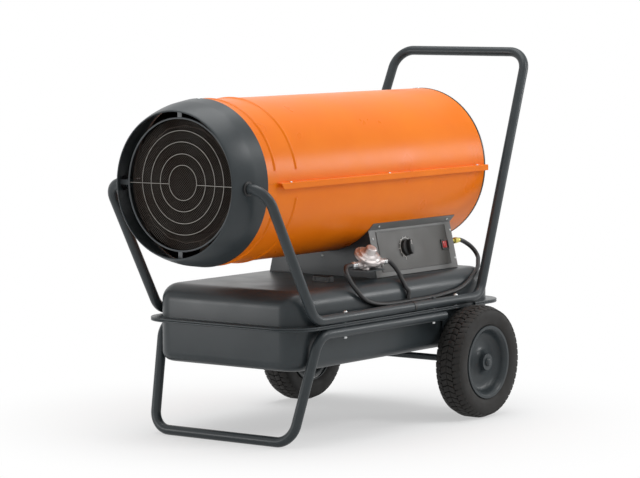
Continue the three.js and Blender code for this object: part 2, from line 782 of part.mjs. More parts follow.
// Outlet guard: an outer ring on four tabs, circles, and a cross wire that leaves the middle open.
const guardCircleParts = guardCircles.map((share, i) =>
  wireCircle(guardRadius * share, guardWire, guardDepth, 10 + 4 * i, 4));
const crossStart = guardRadius * guardCircles[0];
const crossWires = sides.map(([, side]) => rod(guardWire,
  [side * crossStart, guardDepth + 1, barrelAxisHeight],
  [side * guardRadius, guardDepth + 1, barrelAxisHeight], 4));
const tabEnd = (coneRadius(guardDepth) - sheet) * Math.cos(Math.PI / coneSegments) - 2 * gap;
const guardTab = box(-guardTabWidth / 2, guardTabWidth / 2, guardDepth - 1.2, guardDepth + 1.2,
  guardRadius, tabEnd);
const tabs = [0, 1, 2, 3].map((quarter) => guardTab.clone()
  .rotateY((quarter * Math.PI) / 2).translate(0, 0, barrelAxisHeight));
piece('outlet_guard', join(wireCircle(guardRadius, guardRingWire, guardDepth, 28, 4),
  ...guardCircleParts, ...crossWires, ...tabs), greyPaint);

// ---------------------------------------------------------------- combustion chamber and burner

const chamberNeck = burnerRadius + 12;
const chamberBody = revolveBarrel([
  [chamberRadius, chamberFront],
  [chamberRadius, chamberRear - 60],
  [chamberRadius - 40, chamberRear],
  [chamberNeck, chamberRear],
  [chamberNeck, chamberRear - sheet],
  [chamberRadius - 41, chamberRear - sheet],
  [chamberRadius - sheet, chamberRear - 61],
  [chamberRadius - sheet, chamberFront],
], 16);
piece('combustion_chamber', closed(chamberBody), heatSteel);

// Two stands hold the chamber in the shells.
const standRing = 18;
function chamberStand(y) {
  const hoop = revolveBarrel([
    [chamberRadius + gap, y], [chamberRadius + 5, y],
    [chamberRadius + 5, y + standRing], [chamberRadius + gap, y + standRing],
  ], 16);
  const reach = Math.sqrt(insideShell ** 2 - 15 ** 2);
  const arm = box(-15, 15, y + 1, y + standRing - 1, chamberRadius + 1.2, reach);
  const arms = [60, 180, 300].map((turn) => arm.clone().rotateY(degrees(turn))
    .translate(0, 0, barrelAxisHeight));
  return join(hoop, ...arms);
}
piece('chamber_stand_front', chamberStand(shellFront + 20), heatSteel);
piece('chamber_stand_rear', chamberStand(chamberRear - 120), heatSteel);

// Burner head: a tube with a dished flame plate in its mouth.
const burnerFront = chamberRear - 90;
const burnerBack = chamberRear + 130;
piece('burner_head', revolveBarrel([
  [burnerRadius, burnerFront], [burnerRadius, chamberRear + gap],
  [chamberNeck + 8, chamberRear + gap],
  [chamberNeck + 8, chamberRear + 2], [burnerRadius, chamberRear + 2], [burnerRadius, burnerBack],
  [30, burnerBack], [30, burnerBack - 2], [burnerRadius - 2, burnerBack - 2],
  [burnerRadius - 2, burnerFront],
], 12), heatSteel);
const diffuserY = burnerFront - 8;
const diffuser = revolveBarrel([
  [8, diffuserY], [110, diffuserY - 14], [110, diffuserY - 12], [burnerRadius + 5, diffuserY + 4],
  [burnerRadius + 5, diffuserY + 20], [burnerRadius + gap, diffuserY + 20],
  [burnerRadius + gap, diffuserY + 2.4], [8, diffuserY + 2],
], 12);
const slot = box(-4, 4, diffuserY - 40, diffuserY + 30, burnerRadius + 14, 100);
const slots = Array.from({ length: 3 }, (_, i) => slot.clone()
  .rotateY((i * 2 * Math.PI) / 3).translate(0, 0, barrelAxisHeight));
piece('flame_plate', cut(diffuser, ...slots), heatSteel);

// Gas pipe from the valve in the housing up to the burner, with its nozzle.
const nozzleFront = burnerBack - 30;
const pipeRadius = 6;
piece('gas_pipe', bentTube([
  [0, pipeY, pipeFoot], [0, pipeY, barrelAxisHeight], [0, nozzleFront, barrelAxisHeight],
], [25], pipeRadius, 1.5), brass);

// Igniter and flame sensor: rods in ceramic sleeves that pass the back of the burner.
for (const [name, side] of [['igniter', 1], ['flame_sensor', -1]]) {
  const sleeve = rod(5, [side * 20, burnerBack - 2 - gap, barrelAxisHeight + 20],
    [side * 20, burnerBack - 60, barrelAxisHeight + 20], 10);
  const wire = rod(1.6, [side * 20, burnerBack - 50, barrelAxisHeight + 20],
    [side * 20, burnerFront + 12, barrelAxisHeight + 20], 6);
  piece(name, join(sleeve, wire), zinc);
}

// ---------------------------------------------------------------- motor and fan

const motorFront = motorRear - motorLength;
const motorBody = revolveBarrel([
  [0.01, motorFront], [motorRadius - 14, motorFront], [motorRadius, motorFront + 14],
  [motorRadius, motorRear - 12], [motorRadius - 12, motorRear],
  [around(shaftRadius + runningGap, 16), motorRear],
  [around(shaftRadius + runningGap, 16), motorRear - 40],
  [0.01, motorRear - 40],
], 16);
piece('motor', closed(motorBody), greyPaint);

const strapWidth = 30;
const strapY = motorRear - 95;
const strapHoop = revolveBarrel([
  [motorRadius + gap, strapY], [motorRadius + 3 + gap, strapY],
  [motorRadius + 3 + gap, strapY + strapWidth], [motorRadius + gap, strapY + strapWidth],
], 16);
const strapArm = box(-15, 15, strapY + 1, strapY + strapWidth - 1, motorRadius + 2,
  Math.sqrt(insideShell ** 2 - 15 ** 2));
piece('motor_bracket', join(strapHoop, ...[45, 135, 225, 315].map((turn) =>
  strapArm.clone().rotateY(degrees(turn)).translate(0, 0, barrelAxisHeight))), greyPaint);

// One blade: a flat sheet with cut corners, set at a pitch to the fan's plane.
function fanBlade() {
  const tip = Math.sqrt(fanRadius ** 2 - bladeTipHalf ** 2);
  const root = hubOfFan - 12;
  const shape = new THREE.Shape([
    new THREE.Vector2(-bladeRootHalf, root), new THREE.Vector2(bladeRootHalf, root),
    new THREE.Vector2(bladeTipHalf + 8, tip - 18), new THREE.Vector2(bladeTipHalf, tip),
    new THREE.Vector2(-bladeTipHalf, tip), new THREE.Vector2(-bladeTipHalf - 8, tip - 18),
  ]);
  return new THREE.ExtrudeGeometry(shape, { depth: bladeThickness, bevelEnabled: false })
    .translate(0, 0, -bladeThickness / 2).rotateX(Math.PI / 2).rotateZ(degrees(bladePitch));
}
const fanHub = revolveBarrel([
  [0.01, motorRear - 38], [shaftRadius, motorRear - 38], [shaftRadius, fanY - 26],
  [hubOfFan - 6, fanY - 26], [hubOfFan, fanY - 20], [hubOfFan, fanY + 18],
  [hubOfFan - 10, fanY + 26], [0.01, fanY + 28],
], 12);
const blades = Array.from({ length: fanBlades }, (_, i) => fanBlade()
  .rotateY((2 * Math.PI * (i + 0.25)) / fanBlades).translate(0, fanY, barrelAxisHeight));
piece('fan', join(fanHub, ...blades), zinc);

// Rear grille: a band inside the shells' rear edge, circles, and spokes behind them.
const bandOuter = insideShell;
const grilleY = barrelLength + grilleLip - 4;
const band = revolveBarrel([
  [bandOuter, barrelLength - grilleBand], [bandOuter, barrelLength + gap],
  [barrelRadius + 1, barrelLength + gap], [barrelRadius + 1, barrelLength + grilleLip],
  [bandOuter - 3, barrelLength + grilleLip], [bandOuter - 3, barrelLength - grilleBand],
], 32);
const grilleParts = Array.from({ length: grilleCircles }, (_, i) => {
  const radius = ((bandOuter - 12) * (i + 1)) / (grilleCircles + 0.6);
  return wireCircle(radius, grilleWire, grilleY, 12 + 4 * i, 4);
});
const spokes = [0, 1, 2].map((i) => rod(grilleWire, [-bandOuter + 2, grilleY - 2, 0],
  [bandOuter - 2, grilleY - 2, 0], 4).rotateY((i * Math.PI) / 3).translate(0, 0, barrelAxisHeight));
piece('rear_grille', join(band, ...grilleParts, ...spokes), greyPaint);

// ---------------------------------------------------------------- housing and control panel

// Half width of the housing at a height, on its slanted sides.
const sideSlope = (housingFoot - housingTop)
  / (barrelAxisHeight - Math.sqrt(barrelRadius ** 2 - housingTop ** 2) - panelFootHeight);
const housingHalf = (z) => housingFoot - (z - panelFootHeight) * sideSlope;
const housingBase = tankTop + gap;
const meetHeight = barrelAxisHeight - Math.sqrt((barrelRadius + gap) ** 2 - housingTop ** 2);

function housingOutline(inset) {
  const radius = around(barrelRadius + gap, 4 * 14);
  const top = meetHeight - inset;
  const lean = THREE.MathUtils.radToDeg(Math.asin((barrelAxisHeight - meetHeight) / radius));
  return new THREE.Shape([
    new THREE.Vector2(-housingHalf(housingBase) + inset, housingBase),
    new THREE.Vector2(housingHalf(housingBase) - inset, housingBase),
    new THREE.Vector2(housingHalf(top) - inset, top),
    ...arcPoints(radius, -lean, lean - 180, 14).slice(1, -1),
    new THREE.Vector2(-housingHalf(top) + inset, top),
  ]);
}
const housingBlock = alongBarrel(housingOutline(0), housingFront, housingRear);
const insideFarWall = (z) => -housingHalf(z) + around(sheet, 12);
const room = new THREE.Shape([
  new THREE.Vector2(insideFarWall(housingBase - 1), housingBase - 1),
  new THREE.Vector2(2 * housingFoot, housingBase - 1),
  new THREE.Vector2(2 * housingFoot, barrelAxisHeight),
  new THREE.Vector2(insideFarWall(barrelAxisHeight), barrelAxisHeight),
]);
const hollow = alongBarrel(room, housingFront + sheet, housingRear - sheet);
// The panel stands in front of the housing's near edges.
const panelSeat = new THREE.Shape([
  new THREE.Vector2(housingHalf(housingBase) - sheet - 4 * gap, housingBase - 1),
  new THREE.Vector2(2 * housingFoot, housingBase - 1),
  new THREE.Vector2(2 * housingFoot, barrelAxisHeight),
  new THREE.Vector2(housingHalf(barrelAxisHeight) - sheet - 4 * gap, barrelAxisHeight),
]);
const panelClearance = alongBarrel(panelSeat, housingFront - 1, housingRear + 1);
const inletHole = rod(around(9 + gap, 12), [inletX - 14, housingRear - 10, inletHeight],
  [inletX - 14, housingRear + 10, inletHeight], 12);
piece('housing', cut(housingBlock, hollow, panelClearance, inletHole), greyPaint);

// The panel's own frame: x along the barrel, y up the slanted face, z out of it.
const panelWidth = housingRear - housingFront;
const panelRise = meetHeight - panelFootHeight;
const panelHeight = Math.hypot(panelRise, panelRise * sideSlope);
const upPanel = new THREE.Vector3(-panelRise * sideSlope, 0, panelRise).normalize();
const alongPanel = new THREE.Vector3(0, 1, 0);
const outOfPanel = alongPanel.clone().cross(upPanel);
const panel = new THREE.Group();
panel.quaternion.setFromRotationMatrix(
  new THREE.Matrix4().makeBasis(alongPanel, upPanel, outOfPanel));
panel.position.set(housingHalf(panelFootHeight), housingFront, panelFootHeight);
heater.add(panel);

const [knobAlong, knobUp] = knobPlace;
const [switchAlong, switchUp] = switchPlace;
const [switchWidth, switchHeight] = switchSize;
const spindleHole = rod(around(spindleRadius + 1, 12), [knobAlong, knobUp, -10],
  [knobAlong, knobUp, 10], 12);
const switchHole = box(switchAlong - switchWidth / 2 + 3, switchAlong + switchWidth / 2 - 3,
  switchUp - switchHeight / 2 + 3, switchUp + switchHeight / 2 - 3, -10, 10);

// The face plate, and the strip along its top that lies on the barrel.
const panelPlate = box(0, panelWidth, panelBottom(), panelHeight - 1, -sheet, 0);
function panelBottom() {
  return -(panelFootHeight - housingBase) + 1.2;
}
const stripFrom = THREE.MathUtils.radToDeg(Math.asin((barrelAxisHeight - meetHeight)
  / (barrelRadius + gap))) + 0.6;
const stripTo = stripFrom - THREE.MathUtils.radToDeg(panelLip / barrelRadius);
const strip = new THREE.Shape([
  ...arcPoints(barrelRadius + gap, -stripFrom, -stripTo, 4),
  ...arcPoints(barrelRadius + gap + sheet, -stripFrom, -stripTo, 4).reverse(),
]);
const intoPanel = new THREE.Matrix4()
  .makeBasis(alongPanel, upPanel, outOfPanel).setPosition(panel.position).invert();
const stripPlate = alongBarrel(strip, housingFront, housingRear).applyMatrix4(intoPanel);
piece('control_panel', cut(join(panelPlate, stripPlate), spindleHole, switchHole), panelPaint,
  panel);

const labelPlate = box(labelMargin, panelWidth - labelMargin, 8, 8 + labelHeight, gap,
  gap + labelSheet);
piece('label_plate', cut(labelPlate, spindleHole, switchHole), panelPaint, panel);
const faceOfLabel = gap + labelSheet;

// Thermostat: its body behind the panel, a spindle and a knob with a grip bar.
const knobFoot = faceOfLabel + 1;
const spindleTop = knobFoot + 12;
const thermostatDepth = 28;
const thermostatBody = box(knobAlong - 18, knobAlong + 18, knobUp - 16, knobUp + 16,
  -sheet - gap - thermostatDepth, -sheet - gap);
const spindleSocket = rod(around(spindleRadius + runningGap, 12),
  [knobAlong, knobUp, -sheet - 14], [knobAlong, knobUp, 5], 12);
piece('thermostat_body', cut(thermostatBody, spindleSocket), blackPlastic, panel);
piece('thermostat_spindle', closed(rod(spindleRadius, [knobAlong, knobUp, -sheet - 13],
  [knobAlong, knobUp, spindleTop], 12)), zinc, panel);
const knobDisc = revolveAbout([
  [0.01, knobFoot], [knobRadius, knobFoot], [knobRadius - 1, knobFoot + 7],
  [knobRadius - 5, knobFoot + 9], [0.01, knobFoot + 9],
], 16, [knobAlong, knobUp, 0], [0, 0, 1]);
const grip = new THREE.Shape();
grip.absellipse(0, 0, knobRadius - 2, 8, 0, 2 * Math.PI);
const gripBar = new THREE.ExtrudeGeometry(grip,
  { depth: knobHeight - 8, bevelEnabled: false, curveSegments: 8 })
  .rotateZ(Math.PI / 2).translate(knobAlong, knobUp, knobFoot + 8);
const spindleBore = rod(around(spindleRadius + gap, 12), [knobAlong, knobUp, knobFoot - 1],
  [knobAlong, knobUp, spindleTop + gap], 12);
piece('thermostat_knob', cut(join(knobDisc, gripBar), spindleBore), blackPlastic, panel);

// Rocker switch: a bezel through the panel and a rocker tilted to its OFF side.
const bezelTop = faceOfLabel + gap + 3;
const bezelFlange = box(switchAlong - switchWidth / 2, switchAlong + switchWidth / 2,
  switchUp - switchHeight / 2, switchUp + switchHeight / 2, faceOfLabel + gap, bezelTop);
const bezelBody = box(switchAlong - switchWidth / 2 + 3 + gap, switchAlong + switchWidth / 2 - 3 - gap,
  switchUp - switchHeight / 2 + 3 + gap, switchUp + switchHeight / 2 - 3 - gap, -22,
  bezelTop - 1);
const [rockerLong, rockerWide] = rockerSize;
const rockerRoom = box(switchAlong - rockerLong / 2 - 1, switchAlong + rockerLong / 2 + 1,
  switchUp - rockerWide / 2 - 2 * gap, switchUp + rockerWide / 2 + 2 * gap, -12, bezelTop + 1);
piece('switch_bezel', cut(join(bezelFlange, bezelBody), rockerRoom), blackPlastic, panel);
const rockerPivot = -2;
const rockerShape = new THREE.Shape([
  new THREE.Vector2(-rockerLong / 2, 4.5), new THREE.Vector2(-rockerLong / 4, 6.6),
  new THREE.Vector2(0, 7.2), new THREE.Vector2(rockerLong / 4, 6.6),
  new THREE.Vector2(rockerLong / 2, 4.5), new THREE.Vector2(rockerLong / 2 - 2, -1.5),
  new THREE.Vector2(3, -6), new THREE.Vector2(-3, -6), new THREE.Vector2(-rockerLong / 2 + 2, -1.5),
]);
const rockerBody = new THREE.ExtrudeGeometry(rockerShape,
  { depth: rockerWide, bevelEnabled: false })
  .translate(0, 0, -rockerWide / 2).rotateZ(-degrees(rockerTilt)).rotateX(Math.PI / 2)
  .translate(switchAlong, switchUp, rockerPivot);
piece('rocker', closed(rockerBody), redPlastic, panel);

// ---------------------------------------------------------------- gas valve and its line

const valveTop = pipeFoot + 4;
const valveBlockTop = pipeFoot - 10;
piece('gas_valve', join(
  box(-35, 60, pipeY - 30, pipeY + 60, housingBase, valveBlockTop),
  rod(9, [0, pipeY, valveBlockTop - 5], [0, pipeY, pipeFoot - gap], 12),
  rod(20, [35, pipeY + 30, valveBlockTop - 5], [35, pipeY + 30, valveTop], 16)), zinc);
piece('control_module', closed(box(-120, -55, housingFront + 101, housingFront + 241,
  housingBase + gap, pipeFoot)),
  blackPlastic);

// Brass union through the housing's rear wall, where the hose starts.
piece('inlet_union', join(
  rod(8, [inletX - 14, housingRear - 14, inletHeight], [inletX - 14, housingRear + 3, inletHeight],
    12),
  rod(12, [inletX - 14, housingRear + gap, inletHeight],
    [inletX - 14, housingRear + 9, inletHeight], 6),
  rod(7, [inletX - 14, housingRear + 5, inletHeight], [inletX, inletEnd - 16, inletHeight], 12),
  rod(9.5, [inletX, inletEnd - 18, inletHeight], [inletX, inletEnd - gap, inletHeight], 6)), brass);

// ---------------------------------------------------------------- regulator

const tilt = new THREE.Vector3(...regulatorTilt).normalize();
const regulatorPoint = (along) => regulatorCentre.map((value, i) =>
  value + tilt.getComponent(i) * along);
const bowl = revolveAbout([
  [0.01, -19], [16, -19], [27, -12], [regulatorRadius - 5, -4], [regulatorRadius, -3],
  [regulatorRadius, 1], [0.01, 1],
], 16, regulatorCentre, regulatorTilt);
const portBar = join(
  rod(9, [portX, portFront + 20, portHeight], [portX, portRear - 18, portHeight], 12),
  rod(13, [portX, regulatorCentre[1] - 30, portHeight], [portX, regulatorCentre[1] + 32, portHeight],
    12));
const plugLength = 19;
const bodyPlug = rod(10, [portX - 2, regulatorCentre[1] - 4, portHeight],
  [portX - 2, regulatorCentre[1] - 4, portHeight - plugLength], 6);
piece('regulator_body', join(bowl, portBar, bodyPlug), castZinc);
piece('regulator_bonnet', revolveAbout([
  [0.01, 1 + gap], [regulatorRadius, 1 + gap], [regulatorRadius, 5], [regulatorRadius - 5, 6],
  [30, 12], [17, 15], [16, 30], [13, 33], [0.01, 33],
], 16, regulatorCentre, regulatorTilt), castZinc);
function hoseNut(from, to) {
  return rod(9, [portX, from, portHeight], [portX, to, portHeight], 6);
}
piece('regulator_nut_front', cut(hoseNut(portFront, portFront + 19.5), rod(5,
  [portX, portFront + 4, portHeight], [portX, portFront + 30, portHeight], 10)), zinc);
piece('regulator_nut_rear', cut(hoseNut(portRear - 17.5, portRear), rod(5,
  [portX, portRear - 30, portHeight], [portX, portRear - 4, portHeight], 10)), zinc);

// An angle bracket from the housing's front wall carries the regulator by its plug.
const armTop = portHeight - plugLength - gap;
piece('regulator_bracket', join(
  box(158, portX + 12, regulatorCentre[1] - 18, housingFront - gap, armTop - 3, armTop),
  box(158, 172, housingFront - gap - 3, housingFront - gap, armTop - 1, armTop + 34)), greyPaint);

// ---------------------------------------------------------------- hoses

// From the inlet union over the tank's rear corner, along the rail and up to the regulator.
piece('hose_inlet', hose([
  [inletX, inletEnd, inletHeight], [inletX, inletEnd + 14, inletHeight], [168, 1150, 488],
  [178, 1172, 471], [192, 1175, 453], [216, 1146, 434], [238, 1107, 416], [251, 1058, 396],
  [256, 1016, 379], [256, 978, 368], [256, 925, 361.8], [256, 863, 357], [256, 800, 355.4],
  [256, 737, 355.6], [256, 676, 355.2], [256, 614, 357], [256, 555, 366], [256, 514, 382],
  [250, 487, 408], [241, 471, 432], [229, 469, 455], [214, 488, 468],
  [portX, portFront - 12, portHeight], [portX, portFront - gap, portHeight],
], hoseRadius, 40), rubber);

// The tank union, and the short hose to it from the regulator.
const unionX = tankHalfWidth + 8;
const unionY = 731;
const unionTop = tankTop - topRounding;
const unionFoot = unionTop - 10;
piece('tank_union', join(
  rod(7, [unionX, unionY, unionFoot], [unionX, unionY, unionTop - gap], 6),
  rod(3.5, [unionX, unionY, unionFoot + 4.5],
    [tankHalfWidth + gap, unionY, unionFoot + 4.5], 8)), zinc);
piece('hose_tank', hose([
  [portX, portRear + gap, portHeight], [portX, portRear + 10, portHeight], [212, 714, 459],
  [224, 725, 438], [239, 725, 414], [252, 725, 394], [unionX, unionY, unionTop + 11],
  [unionX, unionY, unionTop],
], hoseRadius, 16), rubber);

// ---------------------------------------------------------------- place on the floor

heater.position.y = -(handleY + tubeRadius) / 2;

export default heater;
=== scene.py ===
"""A direct-fired forced air heater on a wheeled frame of bent tube, built in its real order.

Lengths are written in millimetres. Those along the barrel are counted from the outlet's lip.
"""

import math

import bpy
from mathutils import Matrix, Vector


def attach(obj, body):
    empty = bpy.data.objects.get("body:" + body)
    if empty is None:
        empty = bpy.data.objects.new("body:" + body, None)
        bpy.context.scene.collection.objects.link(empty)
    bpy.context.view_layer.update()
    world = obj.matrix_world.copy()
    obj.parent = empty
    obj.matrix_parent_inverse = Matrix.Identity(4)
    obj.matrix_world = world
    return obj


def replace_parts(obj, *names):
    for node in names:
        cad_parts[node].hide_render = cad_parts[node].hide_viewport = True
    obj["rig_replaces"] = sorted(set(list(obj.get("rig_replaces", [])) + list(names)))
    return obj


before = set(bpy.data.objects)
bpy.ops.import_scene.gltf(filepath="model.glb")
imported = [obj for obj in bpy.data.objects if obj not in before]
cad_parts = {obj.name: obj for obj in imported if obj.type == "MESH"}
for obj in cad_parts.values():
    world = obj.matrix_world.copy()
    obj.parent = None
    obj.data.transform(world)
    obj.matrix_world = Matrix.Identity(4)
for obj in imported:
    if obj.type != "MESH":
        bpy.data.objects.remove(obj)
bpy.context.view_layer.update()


# ---- Camera
# It stands low in front of the panel side, at the photograph's viewing angle, with a long lens.
camera_place = (4.9816, -6.7521, 1.2549)
azimuth, elevation, roll = (math.radians(angle) for angle in (36.583, 4.994, -0.103))
lens = 165.31
sensor_width = 36

bpy.ops.object.select_all(action="DESELECT")
bpy.ops.object.camera_add(location=camera_place)
camera = bpy.context.object
toward_back = Vector((math.sin(azimuth) * math.cos(elevation),
                      -math.cos(azimuth) * math.cos(elevation), math.sin(elevation)))
level = Vector((math.cos(azimuth), math.sin(azimuth), 0))
above = toward_back.cross(level)
to_right = level * math.cos(roll) + above * math.sin(roll)
to_top = toward_back.cross(to_right)
camera.rotation_euler = Matrix((to_right, to_top, toward_back)).transposed().to_euler()
camera.data.lens = lens
camera.data.sensor_width = sensor_width
camera.data.clip_end = 60
bpy.context.scene.camera = camera
bpy.context.scene.view_settings.view_transform = "Standard"


# ---- Gas hoses
# Two 13 mm black rubber hoses with smooth outer covers. One runs from the housing's rear union
# along the rail to the regulator, the other from the regulator down to the tank's side.
lip_from_middle = 696
hose_radius = 6.5


def at(x, along, z):
    """A point in millimetres, along from the barrel's lip, in metres from the heater's middle."""
    return Vector((x, along - lip_from_middle, z)) / 1000


def linear(colour, alpha=1.0):
    """The linear value of an sRGB hex colour."""
    shares = [int(colour[i:i + 2], 16) / 255 for i in (1, 3, 5)]
    return [s / 12.92 if s <= 0.04045 else ((s + 0.055) / 1.055) ** 2.4 for s in shares] + [alpha]


def add(material, kind, inputs=None, **settings):
    """Adds a node with its settings; an input is a value or another node's (node, output)."""
    node = material.node_tree.nodes.new(kind)
    for name, value in settings.items():
        setattr(node, name, value)
    for name, value in (inputs or {}).items():
        if isinstance(value, tuple) and isinstance(value[0], bpy.types.Node):
            material.node_tree.links.new(value[0].outputs[value[1]], node.inputs[name])
        else:
            node.inputs[name].default_value = value
    return node


def finish(name, sockets, colours, grain_mm, roughness, bump, bump_mm):
    """A material with cloudy colour and gloss at one scale, and a fine relief at another."""
    cloud_low, cloud_high, relief_height = 0.3, 0.7, 0.0004
    material = bpy.data.materials.new(name)
    material.use_nodes = True
    material.node_tree.nodes.clear()
    surface = add(material, "ShaderNodeBsdfPrincipled", sockets)
    add(material, "ShaderNodeOutputMaterial", {"Surface": (surface, "BSDF")})
    place = (add(material, "ShaderNodeTexCoord"), "Object")
    clouds = add(material, "ShaderNodeTexNoise",
                 {"Vector": place, "Scale": 1000 / grain_mm, "Detail": 3.0})
    ramp = add(material, "ShaderNodeValToRGB", {"Fac": (clouds, "Fac")})
    for stop, position, colour in zip(ramp.color_ramp.elements, (cloud_low, cloud_high), colours):
        stop.position, stop.color = position, linear(colour)
    gloss = add(material, "ShaderNodeMapRange",
                {"Value": (clouds, "Fac"), "From Min": cloud_low, "From Max": cloud_high,
                 "To Min": roughness[0], "To Max": roughness[1]})
    grain = add(material, "ShaderNodeTexNoise",
                {"Vector": place, "Scale": 1000 / bump_mm, "Detail": 2.0})
    relief = add(material, "ShaderNodeBump",
                 {"Height": (grain, "Fac"), "Strength": bump, "Distance": relief_height})
    links = material.node_tree.links
    links.new(ramp.outputs["Color"], surface.inputs["Base Color"])
    links.new(gloss.outputs["Result"], surface.inputs["Roughness"])
    links.new(relief.outputs["Normal"], surface.inputs["Normal"])
    return material


# Extruded synthetic rubber: near black with a dull sheen and a faint texture from the die.
rubber = finish("extruded_rubber", {"IOR": 1.5}, ("#161617", "#212122"), 30, (0.42, 0.55), 0.2, 2)


def deselect():
    """Leaves nothing selected, in object mode, with corners to be selected next in edit mode."""
    if bpy.context.mode != "OBJECT":
        bpy.ops.object.mode_set(mode="OBJECT")
    bpy.ops.object.select_all(action="DESELECT")
    bpy.context.tool_settings.mesh_select_mode = (True, False, False)


def coat(mesh, material):
    """Gives a mesh one material in place of what it has."""
    mesh.materials.clear()
    mesh.materials.append(material)


def keep(name, material, body, replaced=()):
    """Names the piece in hand, puts its place into its mesh, and gives it finish and body."""
    piece = bpy.context.object
    bpy.ops.object.transform_apply(location=True, rotation=True, scale=True)
    piece.name = piece.data.name = name
    coat(piece.data, material)
    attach(piece, body)
    if replaced:
        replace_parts(piece, *replaced)
    return piece


def lay_hose(name, node, points):
    """A round hose on one smooth curve through its points."""
    deselect()
    bpy.ops.curve.primitive_bezier_curve_add()
    curve = bpy.context.object
    run = curve.data.splines[0]
    run.bezier_points.add(len(points) - 2)
    for knot, point in zip(run.bezier_points, points):
        knot.co = at(*point)
        knot.handle_left_type = knot.handle_right_type = "AUTO"
    curve.data.dimensions = "3D"
    curve.data.resolution_u = 10
    curve.data.bevel_depth = hose_radius / 1000
    curve.data.bevel_resolution = 6
    curve.data.use_fill_caps = True
    return keep(name, rubber, "heater", [node])


inlet_route = [
    (164, 1112, 497), (164, 1126, 497), (168, 1150, 488), (178, 1172, 471), (192, 1175, 453),
    (216, 1146, 434), (238, 1107, 416), (251, 1058, 396), (256, 1016, 379), (256, 978, 368),
    (256, 925, 361.8), (256, 863, 357), (256, 800, 355.4), (256, 737, 355.6), (256, 676, 355.2),
    (256, 614, 357), (256, 555, 366), (256, 514, 382), (250, 487, 408), (241, 471, 432),
    (229, 469, 455), (214, 488, 468), (206, 514, 470), (206, 525.7, 470)]
tank_route = [
    (206, 690.3, 470), (206, 700, 470), (212, 714, 459), (224, 725, 438), (239, 725, 414),
    (252, 725, 394), (256, 731, 384), (256, 731, 373)]
inlet_hose = lay_hose("gas_hose_inlet", "hose_inlet", inlet_route)
tank_hose = lay_hose("gas_hose_tank", "hose_tank", tank_route)


# ---- Fuel tank
# Two deep-drawn steel pans, welded flange to flange and powder coated dark grey. The flanges reach
# out under the frame's rails and step back beside the tyres.
tank_half, tank_front, tank_rear = 248, 211, 1180
tank_top, tank_bottom, tank_seam = 421, 203, 322
tank_corner, top_rounding, bottom_rounding, flange_rounding = 60, 48, 28, 1.8
flange_reach, flange_sheet, weld_gap = 33, 5, 0.3
notch_inside, notch_half, cut_margin = 275, 42, 5
axle_along, wheel_radius = 993, 162

# Powder coat, dark grey: semi-gloss, with the faint orange peel of a cured coat.
grey_coat = finish("grey_powder_coat", {"IOR": 1.5, "Specular IOR Level": 0.3},
                   ("#31373A", "#373D40"), 90, (0.3, 0.38), 0.08, 4)


def edges_where(test):
    """Selects the edges of the piece in hand whose middle and direction pass the test."""
    piece = bpy.context.object
    bpy.ops.mesh.select_mode(type="EDGE")
    bpy.ops.mesh.select_all(action="DESELECT")
    bpy.ops.object.mode_set(mode="OBJECT")
    corners = piece.data.vertices
    for edge in piece.data.edges:
        a, b = (piece.matrix_world @ corners[i].co for i in edge.vertices)
        edge.select = test((a + b) / 2, (b - a).normalized())
    bpy.ops.object.mode_set(mode="EDIT")


def block(low, high):
    """A box between two corners given in millimetres, left in edit mode."""
    deselect()
    a, b = at(*low), at(*high)
    bpy.ops.mesh.primitive_cube_add(size=1, location=(a + b) / 2)
    bpy.context.object.scale = b - a
    bpy.ops.object.transform_apply(location=True, rotation=True, scale=True)
    bpy.ops.object.mode_set(mode="EDIT")
    return bpy.context.object


def plain_block(low, high):
    """A box between two corners given in millimetres, left in object mode."""
    piece = block(low, high)
    bpy.ops.object.mode_set(mode="OBJECT")
    return piece


def rounded_block(low, high, corner, top=0, bottom=0, steps=10):
    """A box with round upright edges and rounded rims, left in object mode."""
    piece = block(low, high)
    edges_where(lambda middle, way: abs(way.z) > 0.9)
    bpy.ops.mesh.bevel(offset=corner / 1000, segments=steps, affect="EDGES")
    for height, rounding in ((high[2] / 1000, top), (low[2] / 1000, bottom)):
        if rounding:
            edges_where(lambda middle, way: abs(middle.z - height) < 1e-5 and abs(way.z) < 0.1)
            bpy.ops.mesh.bevel(offset=rounding / 1000, segments=steps, affect="EDGES")
    bpy.ops.object.mode_set(mode="OBJECT")
    return piece


def hold(*pieces):
    """Takes pieces in hand, with the first one active."""
    deselect()
    for piece in pieces:
        piece.select_set(True)
    bpy.context.view_layer.objects.active = pieces[0]


def join(*pieces):
    """Joins pieces into the first one and leaves it in hand."""
    hold(*pieces)
    bpy.ops.object.join()


def cut_by(piece, cutter):
    """Takes the cutter's space out of the piece and deletes the cutter."""
    hold(piece)
    bore = piece.modifiers.new("cut", "BOOLEAN")
    bore.operation, bore.object, bore.solver = "DIFFERENCE", cutter, "EXACT"
    bpy.ops.object.modifier_apply(modifier="cut")
    bpy.data.objects.remove(cutter)


def smooth(angle=32):
    """Shades the piece in hand smooth, apart from edges sharper than the angle."""
    bpy.ops.object.shade_smooth_by_angle(angle=math.radians(angle))


